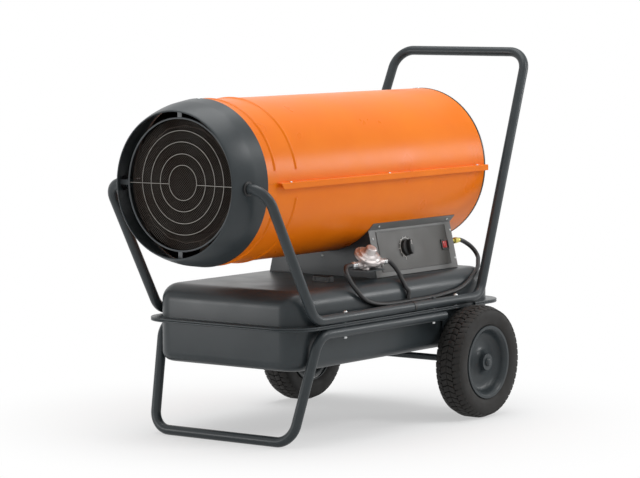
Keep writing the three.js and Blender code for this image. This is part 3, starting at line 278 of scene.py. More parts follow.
upper_seam, lower_seam = tank_seam + weld_gap / 2, tank_seam - weld_gap / 2
reach = tank_half + flange_reach
for name, node, low, high, flange_low, top, bottom in (
        ("tank_pan_upper", "tank_upper", upper_seam, tank_top, upper_seam, top_rounding, 0),
        ("tank_pan_lower", "tank_lower", tank_bottom, lower_seam, lower_seam - flange_sheet, 0,
         bottom_rounding)):
    flange_high = flange_low + flange_sheet
    pan = rounded_block((-tank_half, tank_front, low), (tank_half, tank_rear, high),
                        tank_corner, top, bottom)
    flange = rounded_block((-reach, tank_front - flange_reach, flange_low),
                           (reach, tank_rear + flange_reach, flange_high),
                           tank_corner + flange_reach, flange_rounding, flange_rounding, 8)
    for side in (-1, 1):
        near, far = sorted((side * notch_inside, side * (reach + cut_margin)))
        cut_by(flange, plain_block((near, axle_along - notch_half, flange_low - cut_margin),
                                   (far, axle_along + notch_half, flange_high + cut_margin)))
    join(pan, flange)
    smooth()
    keep(name, grey_coat, "heater", [node])


# ---- Filler cap
# A quarter-turn cap of black nylon over the tank's neck, with a grip bar and fine ribs round its
# skirt.
cap_x, cap_along, neck_height, neck_inside, neck_outside = -140, 1106, 9, 18, 20
cap_radius, cap_inside, cap_crown = 24.3, 20.4, 4
grip_half, grip_thick, grip_height = 19.3, 3.5, 9
cap_ribs, rib_radius, rib_length, rib_middle = 24, 0.9, 9, 5.5

# Moulded nylon: black, satin, with the fine spark texture of its mould.
nylon = finish("moulded_black_nylon", {"IOR": 1.53}, ("#141414", "#1C1C1C"), 18, (0.4, 0.52),
               0.25, 1.2)


def spin_section(corners, centre, axis, steps=64, turn=360, start=None):
    """Draws half a section by extruding one corner along it, and spins it about the axis."""
    axis = Vector(axis).normalized()
    across = Vector(start).normalized() if start else axis.orthogonal().normalized()
    points = [Vector(centre) + (across * radius + axis * along) / 1000 for radius, along in corners]
    deselect()
    bpy.ops.mesh.primitive_circle_add(vertices=3, radius=0.001, location=points[0])
    bpy.ops.object.mode_set(mode="EDIT")
    bpy.ops.mesh.merge(type="CENTER")
    for here, there in zip(points, points[1:]):
        bpy.ops.mesh.extrude_vertices_move(TRANSFORM_OT_translate={"value": there - here})
    bpy.ops.mesh.select_all(action="SELECT")
    bpy.ops.mesh.remove_doubles(threshold=1e-5)
    bpy.ops.mesh.spin(steps=steps, angle=math.radians(turn), center=centre, axis=-axis)
    bpy.ops.mesh.select_all(action="SELECT")
    bpy.ops.mesh.remove_doubles(threshold=1e-5)
    if turn < 360:
        bpy.ops.mesh.select_all(action="DESELECT")
        bpy.ops.mesh.select_non_manifold()
        bpy.ops.mesh.fill_holes(sides=0)
        bpy.ops.mesh.select_all(action="SELECT")
    bpy.ops.mesh.normals_make_consistent(inside=False)
    bpy.ops.object.mode_set(mode="OBJECT")
    return bpy.context.object


def ring_section(inner, outer, low, high):
    """The corners of a plain ring's section, and the first one again."""
    return [(inner, low), (outer, low), (outer, high), (inner, high), (inner, low)]


def bevelled(offset_mm, segments=3, angle=40):
    """Rounds the sharp edges of the piece in hand."""
    rounding = bpy.context.object.modifiers.new("round", "BEVEL")
    rounding.width, rounding.segments = offset_mm / 1000, segments
    rounding.limit_method, rounding.angle_limit = "ANGLE", math.radians(angle)
    bpy.ops.object.modifier_apply(modifier="round")


cap_middle = at(cap_x, cap_along, 0)
cap_foot = tank_top + weld_gap
cap_under = cap_foot + neck_height
cap_top = cap_under + cap_crown
cap = spin_section([(0, cap_top), (cap_radius - 3, cap_top), (cap_radius - 1, cap_top - 0.8),
                    (cap_radius, cap_top - 3), (cap_radius, cap_foot), (cap_inside, cap_foot),
                    (cap_inside, cap_under), (0, cap_under)], cap_middle, (0, 0, 1))
grip = plain_block((cap_x - grip_half, cap_along - grip_thick, cap_top - 1),
                   (cap_x + grip_half, cap_along + grip_thick, cap_top + grip_height))
bevelled(1.6)
ribs = []
for number in range(cap_ribs):
    angle = math.tau * number / cap_ribs
    rib_x, rib_along = cap_radius * math.cos(angle), cap_radius * math.sin(angle)
    deselect()
    bpy.ops.mesh.primitive_cylinder_add(
        vertices=6, radius=rib_radius / 1000, depth=rib_length / 1000, end_fill_type="NGON",
        location=at(cap_x + rib_x, cap_along + rib_along, cap_foot + rib_middle))
    ribs.append(bpy.context.object)
join(cap, grip, *ribs)
smooth()
keep("tank_filler_cap", nylon, "tank_cap", ["filler_cap"])
spin_section(ring_section(neck_inside, neck_outside, tank_top - 2, tank_top + neck_height),
             cap_middle, (0, 0, 1))
smooth()
keep("tank_filler_neck", grey_coat, "heater")


# ---- Level gauge
# A low black housing on the tank's top with a clear window towards the outlet.
gauge_x, gauge_along, gauge_height = 116, 515, 16
gauge_half_length, gauge_half_width, window_half = 30, 11, 21
gauge = block((gauge_x - gauge_half_length, gauge_along - gauge_half_width, cap_foot),
              (gauge_x + gauge_half_length, gauge_along + gauge_half_width,
               cap_foot + gauge_height))
edges_where(lambda middle, way: middle.z > (cap_foot + gauge_height / 2) / 1000)
bpy.ops.mesh.bevel(offset=0.003, segments=4, affect="EDGES")
bpy.ops.object.mode_set(mode="OBJECT")
cut_by(gauge, plain_block((gauge_x - window_half, gauge_along - 13, cap_foot + 3),
                          (gauge_x + window_half, gauge_along - 8, cap_foot + 13)))
smooth()
keep("tank_gauge_housing", nylon, "heater", ["level_gauge"])

# Clear acrylic over a dark dial: near black and glossy.
window = finish("clear_acrylic_window", {"IOR": 1.49, "Specular IOR Level": 0.3},
                ("#15191C", "#20262A"), 20, (0.08, 0.14), 0.05, 3)


# ---- Frame tubes
# Two 28 mm steel tubes, bent cold and powder coated. The lower one is the foot and the rails under
# the flange; the upper one is the front legs, the rails on the flange and the push handle.
tube_radius, tube_wall = 14, 2
rail_x, upper_rail, lower_rail, lower_rail_end = 273, 341.45, 302.55, 884
foot_bend, leg_bends = 58, [54, 60, 60, 62]


def bent_tube(corners, bends, bend_steps=14, sides=32):
    """Pushes a round section along straight runs and spins it round each bend."""
    runs = [at(*corner) for corner in corners]
    ways = [(b - a).normalized() for a, b in zip(runs, runs[1:])]
    deselect()
    bpy.ops.mesh.primitive_circle_add(vertices=sides, radius=tube_radius / 1000, location=runs[0],
                                      rotation=ways[0].to_track_quat("Z", "Y").to_euler())
    bpy.ops.object.mode_set(mode="EDIT")
    here = runs[0]
    for corner, way, after, bend in zip(runs[1:], ways, ways[1:], bends):
        bend = bend / 1000
        angle = way.angle(after)
        start = corner - way * bend * math.tan(angle / 2)
        inward = (after - way * after.dot(way)).normalized()
        bpy.ops.mesh.extrude_region_move(TRANSFORM_OT_translate={"value": start - here})
        bpy.ops.mesh.spin(steps=bend_steps, angle=angle, center=start + inward * bend,
                          axis=inward.cross(way))
        here = corner + after * bend * math.tan(angle / 2)
    bpy.ops.mesh.extrude_region_move(TRANSFORM_OT_translate={"value": runs[-1] - here})
    bpy.ops.mesh.select_all(action="SELECT")
    bpy.ops.mesh.remove_doubles(threshold=1e-5)
    bpy.ops.mesh.normals_make_consistent(inside=False)
    bpy.ops.object.mode_set(mode="OBJECT")
    wall = bpy.context.object.modifiers.new("wall", "SOLIDIFY")
    wall.thickness, wall.offset = tube_wall / 1000, -1
    bpy.ops.object.modifier_apply(modifier="wall")
    smooth()


foot = [(rail_x, lower_rail_end, lower_rail), (rail_x, 284, lower_rail), (240, 202, tube_radius)]
bent_tube(foot + [(-x, along, z) for x, along, z in reversed(foot)], [foot_bend] * 4)
keep("frame_tube_lower", grey_coat, "heater", ["frame_lower"])
leg = [(194, 49, 711), (274, 49, 711), (rail_x, 264, upper_rail), (rail_x, 1066, upper_rail),
       (235, 1378, 1046)]
bent_tube(leg + [(-x, along, z) for x, along, z in reversed(leg)], leg_bends + leg_bends[::-1])
keep("frame_tube_upper", grey_coat, "heater", ["frame_upper"])


# ---- Rail bolts
# Bright zinc-plated pan-head bolts through rail, flange and rail. The rearmost pair stands behind
# the lower rails' ends and stops under the flange.
bolt_places, coated_bolt = (402, 831, 942), 2
bolt_head = [(0, 5), (3, 4.8), (5.5, 3.6), (6.8, 1.5), (7, 0.2), (4, 0.2)]
bolt_nut = [(4, 0), (6, 0), (6, -4), (5, -5), (0, -5)]
bolt_end = [(4, 0), (0, 0)]
both_sides = (("left", -1), ("right", 1))

# Zinc plate: pale, blue-white metal with slightly cloudy gloss.
zinc = finish("bright_zinc_plate", {"Metallic": 1.0}, ("#B4B6B6", "#C9CBCB"), 12, (0.25, 0.38),
              0.1, 1)


def screw(place, way, radius=4.2, height=2.6):
    """A pan head with a cross recess drawn as a shallow dish."""
    spin_section([(0, height * 0.55), (radius * 0.3, height * 0.6), (radius * 0.45, height),
                  (radius * 0.7, height * 0.9), (radius * 0.95, height * 0.5), (radius, 0),
                  (radius, -1), (0, -1)], place, way, 14)
    return bpy.context.object


rail_top, rail_foot = upper_rail + tube_radius, lower_rail - tube_radius - 0.3
for side_name, side in both_sides:
    for number, along in enumerate(bolt_places, 1):
        through = along < lower_rail_end
        foot_z = rail_foot if through else tank_seam - flange_sheet
        section = [(radius, rail_top + rise) for radius, rise in bolt_head]
        section += [(radius, foot_z + rise) for radius, rise in (bolt_nut if through else bolt_end)]
        spin_section(section, at(side * rail_x, along, 0), (0, 0, 1), 24)
        smooth()
        bolt = keep(f"bolt_{side_name}_{number}", zinc, "heater",
                    [f"rail_bolt_{side_name}_{number}"])
        if number == coated_bolt:
            # No bright head shows here, so its head is drawn coated like the rail.
            bolt.data.materials.append(grey_coat)
            for face in bolt.data.polygons:
                face.material_index = int(face.center.z > upper_rail / 1000)


# ---- Axle, brackets and wheels
# A steel axle in two plate brackets. Each wheel is a rim of two pressed dishes on a hub tube with a
# broad turf tyre; the tyre has shoulder blocks and inner blocks with slanted grooves between them.
wheel_x, lugs, block_depth, wheel_bore = 316, 52, 11, 9.58
wheel_middle = at(wheel_x, axle_along, wheel_radius)

# Vulcanised tyre rubber: warm dark brown-grey, dull, with fine dust in it.
tyre_rubber = finish("vulcanised_tyre_rubber", {"IOR": 1.5, "Specular IOR Level": 0.35},
                     ("#1D1C1B", "#272523"), 35, (0.6, 0.78), 0.35, 1.6)
carcass = spin_section(
    [(101.3, -32), (104, -34), (112, -40), (122, -42.8), (134, -43.6), (143, -43), (150, -40.5),
     (155, -36), (157, -28), (157.4, -14), (157.4, 14), (157, 28), (155, 36), (150, 40.5),
     (143, 43), (134, 43.6), (122, 42.8), (112, 40), (104, 34), (101.3, 32), (101.3, -32)],
    wheel_middle, (1, 0, 0), 104, start=(0, 0, 1))


def tread_row(across, width, length, top, drop, twist, offset):
    """One block of the tread, lower at its outer side by the drop, copied all round the tyre."""
    deselect()
    bpy.ops.mesh.primitive_cube_add(size=1, location=(0, 0, 0))
    piece = bpy.context.object
    piece.scale = (width / 1000, length / 1000, block_depth / 1000)
    bpy.ops.object.transform_apply(location=True, rotation=True, scale=True)
    for corner in piece.data.vertices:
        if corner.co.x * across > 0 and corner.co.z > 0:
            corner.co.z -= drop / 1000
        corner.co.y += corner.co.x * twist
    bevelled(1.1, 2)
    for corner in piece.data.vertices:
        corner.co += wheel_middle + Vector((across, 0, top - block_depth / 2)) / 1000
    bpy.ops.object.mode_set(mode="EDIT")
    bpy.ops.mesh.select_all(action="SELECT")
    bpy.ops.mesh.spin(steps=lugs, angle=math.tau, center=wheel_middle, axis=(1, 0, 0), dupli=True,
                      use_auto_merge=False)
    bpy.ops.mesh.select_all(action="SELECT")
    bpy.ops.transform.rotate(value=offset, orient_axis="X", center_override=wheel_middle)
    bpy.ops.mesh.remove_doubles(threshold=1e-5)
    bpy.ops.object.mode_set(mode="OBJECT")
    return piece


half_pitch = math.tau / lugs / 2
rows = [tread_row(side * across, width, length, top, drop, side * twist, offset)
        for across, width, length, top, drop, twist, offset in (
            (30.5, 21, 15.8, 161.6, 8.5, 0.3, 0), (9.7, 18.4, 16.2, 162, 0, -0.35, half_pitch))
        for side in (1, -1)]
join(carcass, *rows)
smooth()
right_tyre = keep("tyre_tread_right", tyre_rubber, "wheel_right", ["tyre_right"])
spin_section(
    [(wheel_bore, -36), (25, -36), (25, -6), (60, -5), (84, -6), (86, -28), (90, -31), (97, -32),
     (101, -34), (103, -37), (102, -39), (99, -38.6), (100.8, -30), (100.8, 30), (99, 38.6),
     (102, 40), (104.5, 38.5), (104.6, 35), (106, 36), (105.2, 40.2), (102, 40.2), (98, 40.2),
     (94, 37.5), (90.5, 31), (88, 24), (85.5, 17), (81, 12), (74, 9), (62, 7.5), (44, 8.5),
     (36, 10.5), (31, 14), (27, 19), (25.5, 22), (25, 24), (24.5, 35.4), (24, 36),
     (wheel_bore, 36), (wheel_bore, -36)],
    wheel_middle, (1, 0, 0), 72, start=(0, 0, 1))
smooth(28)
right_rim = keep("rim_dish_right", grey_coat, "wheel_right", ["wheel_rim_right"])

# The left wheel is the same piece turned round, so its dish faces out.
axle_middle = at(0, axle_along, 0)
turned = (Matrix.Translation(axle_middle) @ Matrix.Rotation(math.pi, 4, "Z")
          @ Matrix.Translation(-axle_middle))
for source, name, node, slot in (
        (right_tyre, "tyre_tread_left", "tyre_left", "tyre"),
        (right_rim, "rim_dish_left", "wheel_rim_left", "grey_paint")):
    hold(source)
    bpy.ops.object.duplicate()
    other = bpy.context.object
    other.parent = None
    del other["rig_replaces"]
    other.matrix_world = turned
    keep(name, source.data.materials[0], "wheel_left", [node])
for side_name, side in both_sides:
    spin_section([(0, 44), (5, 43.8), (9, 42.6), (11.4, 40.4), (12.4, 37), (12.5, 36.4),
                  (9.8, 36.4), (9.8, 40.3), (0, 40.3)],
                 at(side * wheel_x, axle_along, wheel_radius), (side, 0, 0), 32)
    smooth()
    keep(f"hub_cap_{side_name}", grey_coat, "heater", [f"axle_cap_{side_name}"])


# ---- Combustion chamber and burner
# A tube of heat-resistant steel with the burner and its flame plate at the back, which show dimly
# behind the outlet's screen. They and the other pieces named below keep the frame's solids.

# Heat-tinted steel: use has turned it brown and blue, half dull.
heat_steel = finish("heat_tinted_steel", {"Metallic": 0.85}, ("#37302B", "#4A403A"), 60,
                    (0.4, 0.6), 0.2, 5)
# Die-cast aluminium: pale grey, even, with a slightly rough cast skin.
cast_alloy = finish("die_cast_aluminium", {"Metallic": 1.0}, ("#8C8F91", "#A2A5A7"), 25,
                    (0.4, 0.55), 0.3, 1.5)
# Turned brass: yellow metal, worn a little dull.
brass = finish("turned_brass", {"Metallic": 1.0}, ("#C2B455", "#D9CD76"), 10, (0.28, 0.42),
               0.15, 0.8)
carried_over = {
    heat_steel: ["combustion_chamber", "chamber_stand_front", "chamber_stand_rear", "burner_head",
                 "flame_plate"],
    zinc: ["igniter", "flame_sensor", "thermostat_spindle"],
    cast_alloy: ["motor", "fan", "gas_valve"],
    brass: ["gas_pipe"],
    nylon: ["control_module", "thermostat_body", "hose_clip", "tank_union"],
    window: ["gauge_window"],
    grey_coat: ["axle", "axle_bracket_left", "axle_bracket_right", "motor_bracket", "housing",
                "regulator_bracket"],
}
for material, names in carried_over.items():
    for name in names:
        coat(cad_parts[name].data, material)


# ---- Barrel shells
# Two half shells of 1.5 mm sheet steel, rolled with two stiffening beads, orange powder coated.
# They meet at side ledges; the upper ledge is turned down over the lower one and screwed to it.
barrel_radius, barrel_axis, barrel_length, sheet = 225, 715, 1163, 1.5
shell_front, seam_rise, seam_gap, ledge_reach, ledge_start, lip_drop = 107, 4, 0.15, 15, 162, 15
bead_places, bead_half, bead_height, bead_turn, bead_start = (157, 250), 7, 3.4, 160, 10
ledge_screw_places = (214, 672, 1116)

# Powder coat, orange: bright, semi-gloss, with a soft orange peel that breaks up its highlights.
orange_coat = finish("orange_powder_coat", {"IOR": 1.5, "Specular IOR Level": 0.16},
                     ("#F1780A", "#F57F10"), 120, (0.27, 0.34), 0.06, 5)


def pushed_outline(corners, push):
    """Draws an outline corner by corner, fills it, and pushes it out to a solid."""
    deselect()
    bpy.ops.mesh.primitive_circle_add(vertices=3, radius=0.001, location=corners[0])
    bpy.ops.object.mode_set(mode="EDIT")
    bpy.ops.mesh.merge(type="CENTER")
    for here, there in zip(corners, corners[1:] + corners[:1]):
        bpy.ops.mesh.extrude_vertices_move(TRANSFORM_OT_translate={"value": there - here})
    bpy.ops.mesh.select_all(action="SELECT")
    bpy.ops.mesh.remove_doubles(threshold=1e-5)
    bpy.ops.mesh.edge_face_add()
    bpy.ops.mesh.extrude_region_move(TRANSFORM_OT_translate={"value": push})
    bpy.ops.mesh.select_all(action="SELECT")
    bpy.ops.mesh.normals_make_consistent(inside=False)
    bpy.ops.object.mode_set(mode="OBJECT")
    return bpy.context.object


barrel_middle = at(0, 0, barrel_axis)
seam_height = barrel_axis + seam_rise
bead_root = barrel_radius - 0.8
bead_section = [(bead_root, -bead_half), (barrel_radius + bead_height * 0.75, -3),
                (barrel_radius + bead_height, 0), (barrel_radius + bead_height * 0.75, 3),
                (bead_root, bead_half), (bead_root, -bead_half)]
for name, node, up in (("barrel_shell_upper", "shell_upper", 1),
                       ("barrel_shell_lower", "shell_lower", -1)):
    lean = math.asin((seam_rise + up * seam_gap) / barrel_radius)
    pieces = [spin_section(
        ring_section(barrel_radius - sheet, barrel_radius, shell_front, barrel_length),
        barrel_middle, (0, 1, 0), 96, turn=180 - up * math.degrees(2 * lean),
        start=(-up * math.cos(lean), 0, math.sin(lean)))]
    first = math.radians(bead_start)
    for bead in bead_places:
        pieces.append(spin_section(
            [(radius, bead + along) for radius, along in bead_section], barrel_middle, (0, 1, 0),
            80, turn=bead_turn, start=(-up * math.cos(first), 0, up * math.sin(first))))
    join(*pieces)
    smooth()
    shell = keep(name, orange_coat, "heater", [node])
    # The inside and the front edge are bare steel.
    shell.data.materials.append(heat_steel)
    for face in shell.data.polygons:
        outward = Vector((face.center.x, 0, face.center.z - barrel_middle.z))
        at_front = face.center.y < barrel_middle.y + (shell_front + 1) / 1000
        if at_front or outward.dot(face.normal) < -0.5 * outward.length:
            face.material_index = 1

# The ledges stand out from the joint; the upper one starts with a slanted corner.
for side_name, side in both_sides:
    root, edge = side * (barrel_radius - 1), side * (barrel_radius + ledge_reach)
    inside, shelf = edge - side * sheet, seam_height + seam_gap
    pushed_outline(
        [at(x, ledge_start, z) for x, z in (
            (root, shelf), (inside, shelf), (inside, seam_height - lip_drop),
            (edge, seam_height - lip_drop), (edge, seam_height + 0.6),
            (edge - side * 1.1, shelf + sheet), (root, shelf + sheet))],
        Vector((0, (barrel_length - ledge_start) / 1000, 0)))
    bpy.ops.object.mode_set(mode="EDIT")
    bpy.ops.mesh.select_all(action="SELECT")
    bpy.ops.mesh.bisect(plane_co=at(0, ledge_start + 0.5, seam_height + 1),
                        plane_no=(0, -1, -0.75), use_fill=True, clear_outer=True)
    bpy.ops.object.mode_set(mode="OBJECT")
    smooth()
    keep(f"ledge_upper_{side_name}", orange_coat, "heater")
    inside, shelf, lower_start = edge - side * 2.2, seam_height - seam_gap, ledge_start + 6
    pushed_outline(
        [at(x, lower_start, z) for x, z in (
            (root, shelf), (root, shelf - sheet), (inside, shelf - sheet), (inside, shelf))],
        Vector((0, (barrel_length - lower_start) / 1000, 0)))
    keep(f"ledge_lower_{side_name}", orange_coat, "heater")
    join(*[screw(at(side * (barrel_radius + 7), along, seam_height + sheet), (0, 0, 1))
           for along in ledge_screw_places])
    smooth()
    keep(f"ledge_screws_{side_name}", zinc, "heater")


# ---- Rear grille
# The wire grille behind the fan: a rolled band in the shells' rear edge, with circles of wire on
# three spokes, welded and coated grey.
band_radius, band_inside, grille_wire, grille_along, grille_circles = 222.4, 219.4, 1.8, 1166, 3


def wire_ring(radius, wire, along, steps=96, rise=0):
    """A ring of round wire square to the barrel."""
    deselect()
    bpy.ops.mesh.primitive_torus_add(
        major_radius=radius / 1000, minor_radius=wire / 1000, major_segments=steps,
        minor_segments=8, location=at(0, along, barrel_axis + rise),
        rotation=(math.pi / 2, 0, 0))
    return bpy.context.object


def wire_between(start, end, wire, sides=8):
    """A straight round or many-sided bar between two points."""
    deselect()
    way = end - start
    bpy.ops.mesh.primitive_cylinder_add(
        vertices=sides, radius=wire / 1000, depth=way.length, location=(start + end) / 2,
        rotation=way.to_track_quat("Z", "Y").to_euler())
    return bpy.context.object


band = spin_section(
    [(band_radius, 1151), (band_radius, 1163.3), (226, 1163.3), (226, 1168.5), (225, 1170),
     (band_inside, 1170), (band_inside, 1151), (band_radius, 1151)], barrel_middle, (0, 1, 0), 96)
grille = [band] + [wire_ring((band_radius - 12) * number / 3.6, grille_wire, grille_along)
                   for number in range(1, grille_circles + 1)]
hub = at(0, grille_along - 2, barrel_axis)
for angle in (0, math.pi / 3, 2 * math.pi / 3):
    arm = Vector((math.cos(angle), 0, math.sin(angle))) * (band_inside + 1) / 1000
    grille.append(wire_between(hub - arm, hub + arm, grille_wire))
join(*grille)
smooth()
keep("rear_wire_grille", grey_coat, "heater", ["rear_grille"])


# ---- Outlet cone
# The front ring, spun from sheet steel: a rolled lip, a steep flare, a soft crease and a short band
# that laps over the shells. Its two side holes have rubber grommets for the frame's legs.
lip_radius, crease_radius, crease_along, cone_length, cone_rear = 200, 222.5, 70, 117, 229
leg_middle, leg_hole, hole_reach = at(0, 49, 711), 18.4, 460


def cone_radius(along):
    """The cone's outer radius at a place along it."""
    if along > crease_along:
        share = (along - crease_along) / (cone_length - crease_along)
        return crease_radius + (cone_rear - crease_radius) * share
    share = along / crease_along
    return lip_radius + (crease_radius - lip_radius) * (1.35 * share - 0.35 * share * share)


outer_line = [(cone_radius(along), along)
              for along in (4, 10, 18, 28, 40, 52, 62, 68, 72, 78, 90, 104, 116.2)]
inner_line = [(radius - sheet, along) for radius, along in reversed(outer_line)]
lip_line = [(lip_radius - 2.6, 5.2), (lip_radius - 3.8, 2.6), (lip_radius - 3.2, 0.7),
            (lip_radius - 1.4, 0.1), (lip_radius + 0.2, 1.2)]
cone = spin_section(
    outer_line + [(cone_rear, cone_length), (cone_rear - sheet, cone_length)] + inner_line
    + lip_line + outer_line[:1], barrel_middle, (0, 1, 0), 128)
deselect()
bpy.ops.mesh.primitive_cylinder_add(vertices=40, radius=leg_hole / 1000, depth=hole_reach / 1000,
                                    location=leg_middle, rotation=(0, math.pi / 2, 0))
cut_by(cone, bpy.context.object)
smooth(28)
keep("outlet_cone_ring", grey_coat, "heater", ["outlet_cone"])
for side_name, side in both_sides:
    spin_section([(14.3, 197), (18, 197), (18, 212), (20, 213.5), (20.2, 217), (18.6, 219),
                  (14.3, 219), (14.3, 197)], leg_middle, (side, 0, 0), 40)
    smooth()
    keep(f"grommet_{side_name}", rubber, "heater", [f"leg_grommet_{side_name}"])
join(screw(at(0, 110, barrel_axis + cone_radius(110)), (0, 0, 1)),
     screw(at(0, 1149, barrel_axis + barrel_radius), (0, 0, 1)))
smooth()
keep("barrel_screws", zinc, "heater")


# ---- Outlet guard and screen
# A ring of heavy wire on four tabs carries circles of pale wire and a cross wire. Behind it lies a
# disc of fine woven steel, browned by the heat; its 3 mm weave is drawn at 5 mm so that it shows.
guard_along, guard_radius, ring_wire, tab_half = 28, 179, 2.6, 7
circle_along, circle_rise, circle_wire = guard_along + 11, 4.5, 1.1
circle_shares = (0.265, 0.435, 0.615, 0.785)
weave_pitch, weave_wire, screen_radius, screen_along = 5.2, 0.55, 177, guard_along + 14

# The ring's coat is the cone's grey drawn lighter and duller; its extra lightness is painted light,
# standing in for the light that the ring catches.
ring_coat_painted_light = finish("grey_powder_coat_painted_lighter", {"IOR": 1.5}, ("#54585B", "#63676A"), 25,
                    (0.4, 0.55), 0.15, 2)
# Stainless wire that the heat has dulled: pale grey, satin.
guard_wire = finish("dulled_stainless_wire", {"Metallic": 0.9}, ("#8A8782", "#A19E98"), 15,
                    (0.4, 0.55), 0.1, 1)
# Woven screen wire: dark, half burnt, brown in places.
screen_wire = finish("heat_browned_screen_wire", {"Metallic": 0.5}, ("#4A3F38", "#5F5A55"), 80,
                     (0.5, 0.65), 0.1, 1)

tabs = []
for number in range(4):
    tab_top = barrel_axis + cone_radius(guard_along) - sheet - 0.6
    tabs.append(block((-tab_half, guard_along - 1.3, barrel_axis + guard_radius - 1),
                      (tab_half, guard_along + 1.3, tab_top)))
    bpy.ops.mesh.select_all(action="SELECT")
    bpy.ops.transform.rotate(value=number * math.pi / 2, orient_axis="Y",
                             center_override=at(0, guard_along, barrel_axis))
    bpy.ops.object.mode_set(mode="OBJECT")
join(wire_ring(guard_radius, ring_wire, guard_along, 128), *tabs)
smooth()
keep("guard_ring", ring_coat_painted_light, "heater", ["outlet_guard"])
circles = [wire_ring(guard_radius * share, circle_wire, circle_along, 96, circle_rise)
           for share in circle_shares]
circles += [wire_between(at(side * guard_radius * circle_shares[0], circle_along, barrel_axis),
                         at(side * guard_radius, guard_along + 1, barrel_axis), 1.0)
            for side in (-1, 1)]
join(*circles)
smooth()
keep("guard_circles", guard_wire, "heater")

# The screen's wires are added to one empty mesh, in a layer at 45 degrees each way.
deselect()
bpy.ops.mesh.primitive_cylinder_add(vertices=4, radius=weave_wire / 1000, depth=0.01,
                                    location=at(0, guard_along + 5, barrel_axis))
bpy.ops.object.mode_set(mode="EDIT")
bpy.ops.mesh.select_all(action="SELECT")
bpy.ops.mesh.delete(type="VERT")
rows_out = int(screen_radius / weave_pitch)
for direction in (1, -1):
    tilt = math.radians(45 * direction)
    sideways = Vector((math.cos(tilt), 0, -math.sin(tilt)))
    layer = at(0, screen_along + 0.5 * direction, barrel_axis)
    for row in range(-rows_out, rows_out + 1):
        offset = row * weave_pitch
        half_length = math.sqrt(screen_radius ** 2 - offset ** 2) / 1000
        bpy.ops.mesh.primitive_cylinder_add(
            vertices=4, radius=weave_wire / 1000, depth=2 * half_length,
            location=layer + sideways * offset / 1000, rotation=(0, tilt, 0))
bpy.ops.object.mode_set(mode="OBJECT")
keep("guard_screen", screen_wire, "heater")


# ---- Housing front, control panel and label plate
# The housing and the panel keep the frame's solids. The panel is a folded steel plate, coated a
# lighter grey; a darker printed plate covers its middle, left bare here but for the dial.
panel_foot = at(190, 669, 427)
panel_up = Vector((-0.225177, 0, 0.974318))
panel_out = Vector((0.974318, 0, 0.225177))
panel_along = Vector((0, 1, 0))
plate_top, ink_top = 1.5, 1.8
knob_along, knob_up = 165, 71
dial_radius, mark_start, mark_short, mark_long, mark_half = 29, 29.6, 33, 36, 0.6
dial_start, dial_end, mark_step = 30, 255, 25
frame_low, frame_high, frame_line = (33.5, 10.5), (375.5, 122.5), 1.2
panel_screw_places = ((14, 106.5), (403, 105.5), (402, 22.5), (17, 21.5))
strip_screw_places, strip_lean = (707, 1048), math.radians(41.5)

# Powder coat, warm mid grey, satin, a little dusty from handling.
panel_coat = finish("warm_grey_powder_coat", {"IOR": 1.5, "Specular IOR Level": 0.3},
                    ("#6A6B6A", "#717170"), 60, (0.36, 0.46), 0.15, 3)
# Screen-printed aluminium plate: dark warm grey, even, slightly glossy.
label_print = finish("printed_label_plate", {"IOR": 1.5, "Specular IOR Level": 0.25},
                     ("#3C3B38", "#42413E"), 70, (0.3, 0.4), 0.1, 2)
# White enamel ink: the dial's scale. It is even and satin.
ink = finish("white_enamel_ink", {"IOR": 1.5}, ("#C9C8C4", "#D6D5D1"), 10, (0.4, 0.5), 0.05, 1)
# Black enamel ink: the plate's thin frame, barely darker than the plate.
dark_line = finish("black_enamel_ink", {"IOR": 1.5}, ("#232321", "#2B2B29"), 10, (0.4, 0.5),
                   0.05, 1)
coat(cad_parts["control_panel"].data, panel_coat)


def on_panel(along, up, out):
    """A point on the slanted panel, in millimetres from its lower front corner."""
    return panel_foot + (panel_along * along + panel_up * up + panel_out * out) / 1000


def panel_block(low, high):
    """A box that lies square on the slanted panel."""
    corners = [on_panel(along, up, low[2]) for along, up in (
        (low[0], low[1]), (high[0], low[1]), (high[0], high[1]), (low[0], high[1]))]
    return pushed_outline(corners, panel_out * (high[2] - low[2]) / 1000)


hold(panel_block((31, 8, 0.3), (378, 125, plate_top)))
bevelled(0.5, 2)
keep("label_plate_bare", label_print, "heater", ["label_plate"])


def dial_way(degree):
    """The direction of a dial mark, in the panel's own two directions."""
    return Vector((math.cos(math.radians(degree)), math.sin(math.radians(degree))))


first = dial_way(dial_start)
marks = [spin_section(ring_section(dial_radius - 1.4, dial_radius, plate_top, ink_top),
                      on_panel(knob_along, knob_up, 0), panel_out, 60,
                      turn=dial_end - dial_start,
                      start=panel_along * first.x + panel_up * first.y)]
for degree in range(dial_start, dial_end + 1, mark_step):
    way = dial_way(degree)
    aside = way.orthogonal() * mark_half
    end = mark_long if degree in (dial_start, 180, dial_end) else mark_short
    outline = [way * mark_start + aside, way * mark_start - aside, way * end - aside,
               way * end + aside]
    marks.append(pushed_outline(
        [on_panel(knob_along + p.x, knob_up + p.y, plate_top) for p in outline],
        panel_out * 0.0003))
join(*marks)
keep("dial_marks", ink, "heater")

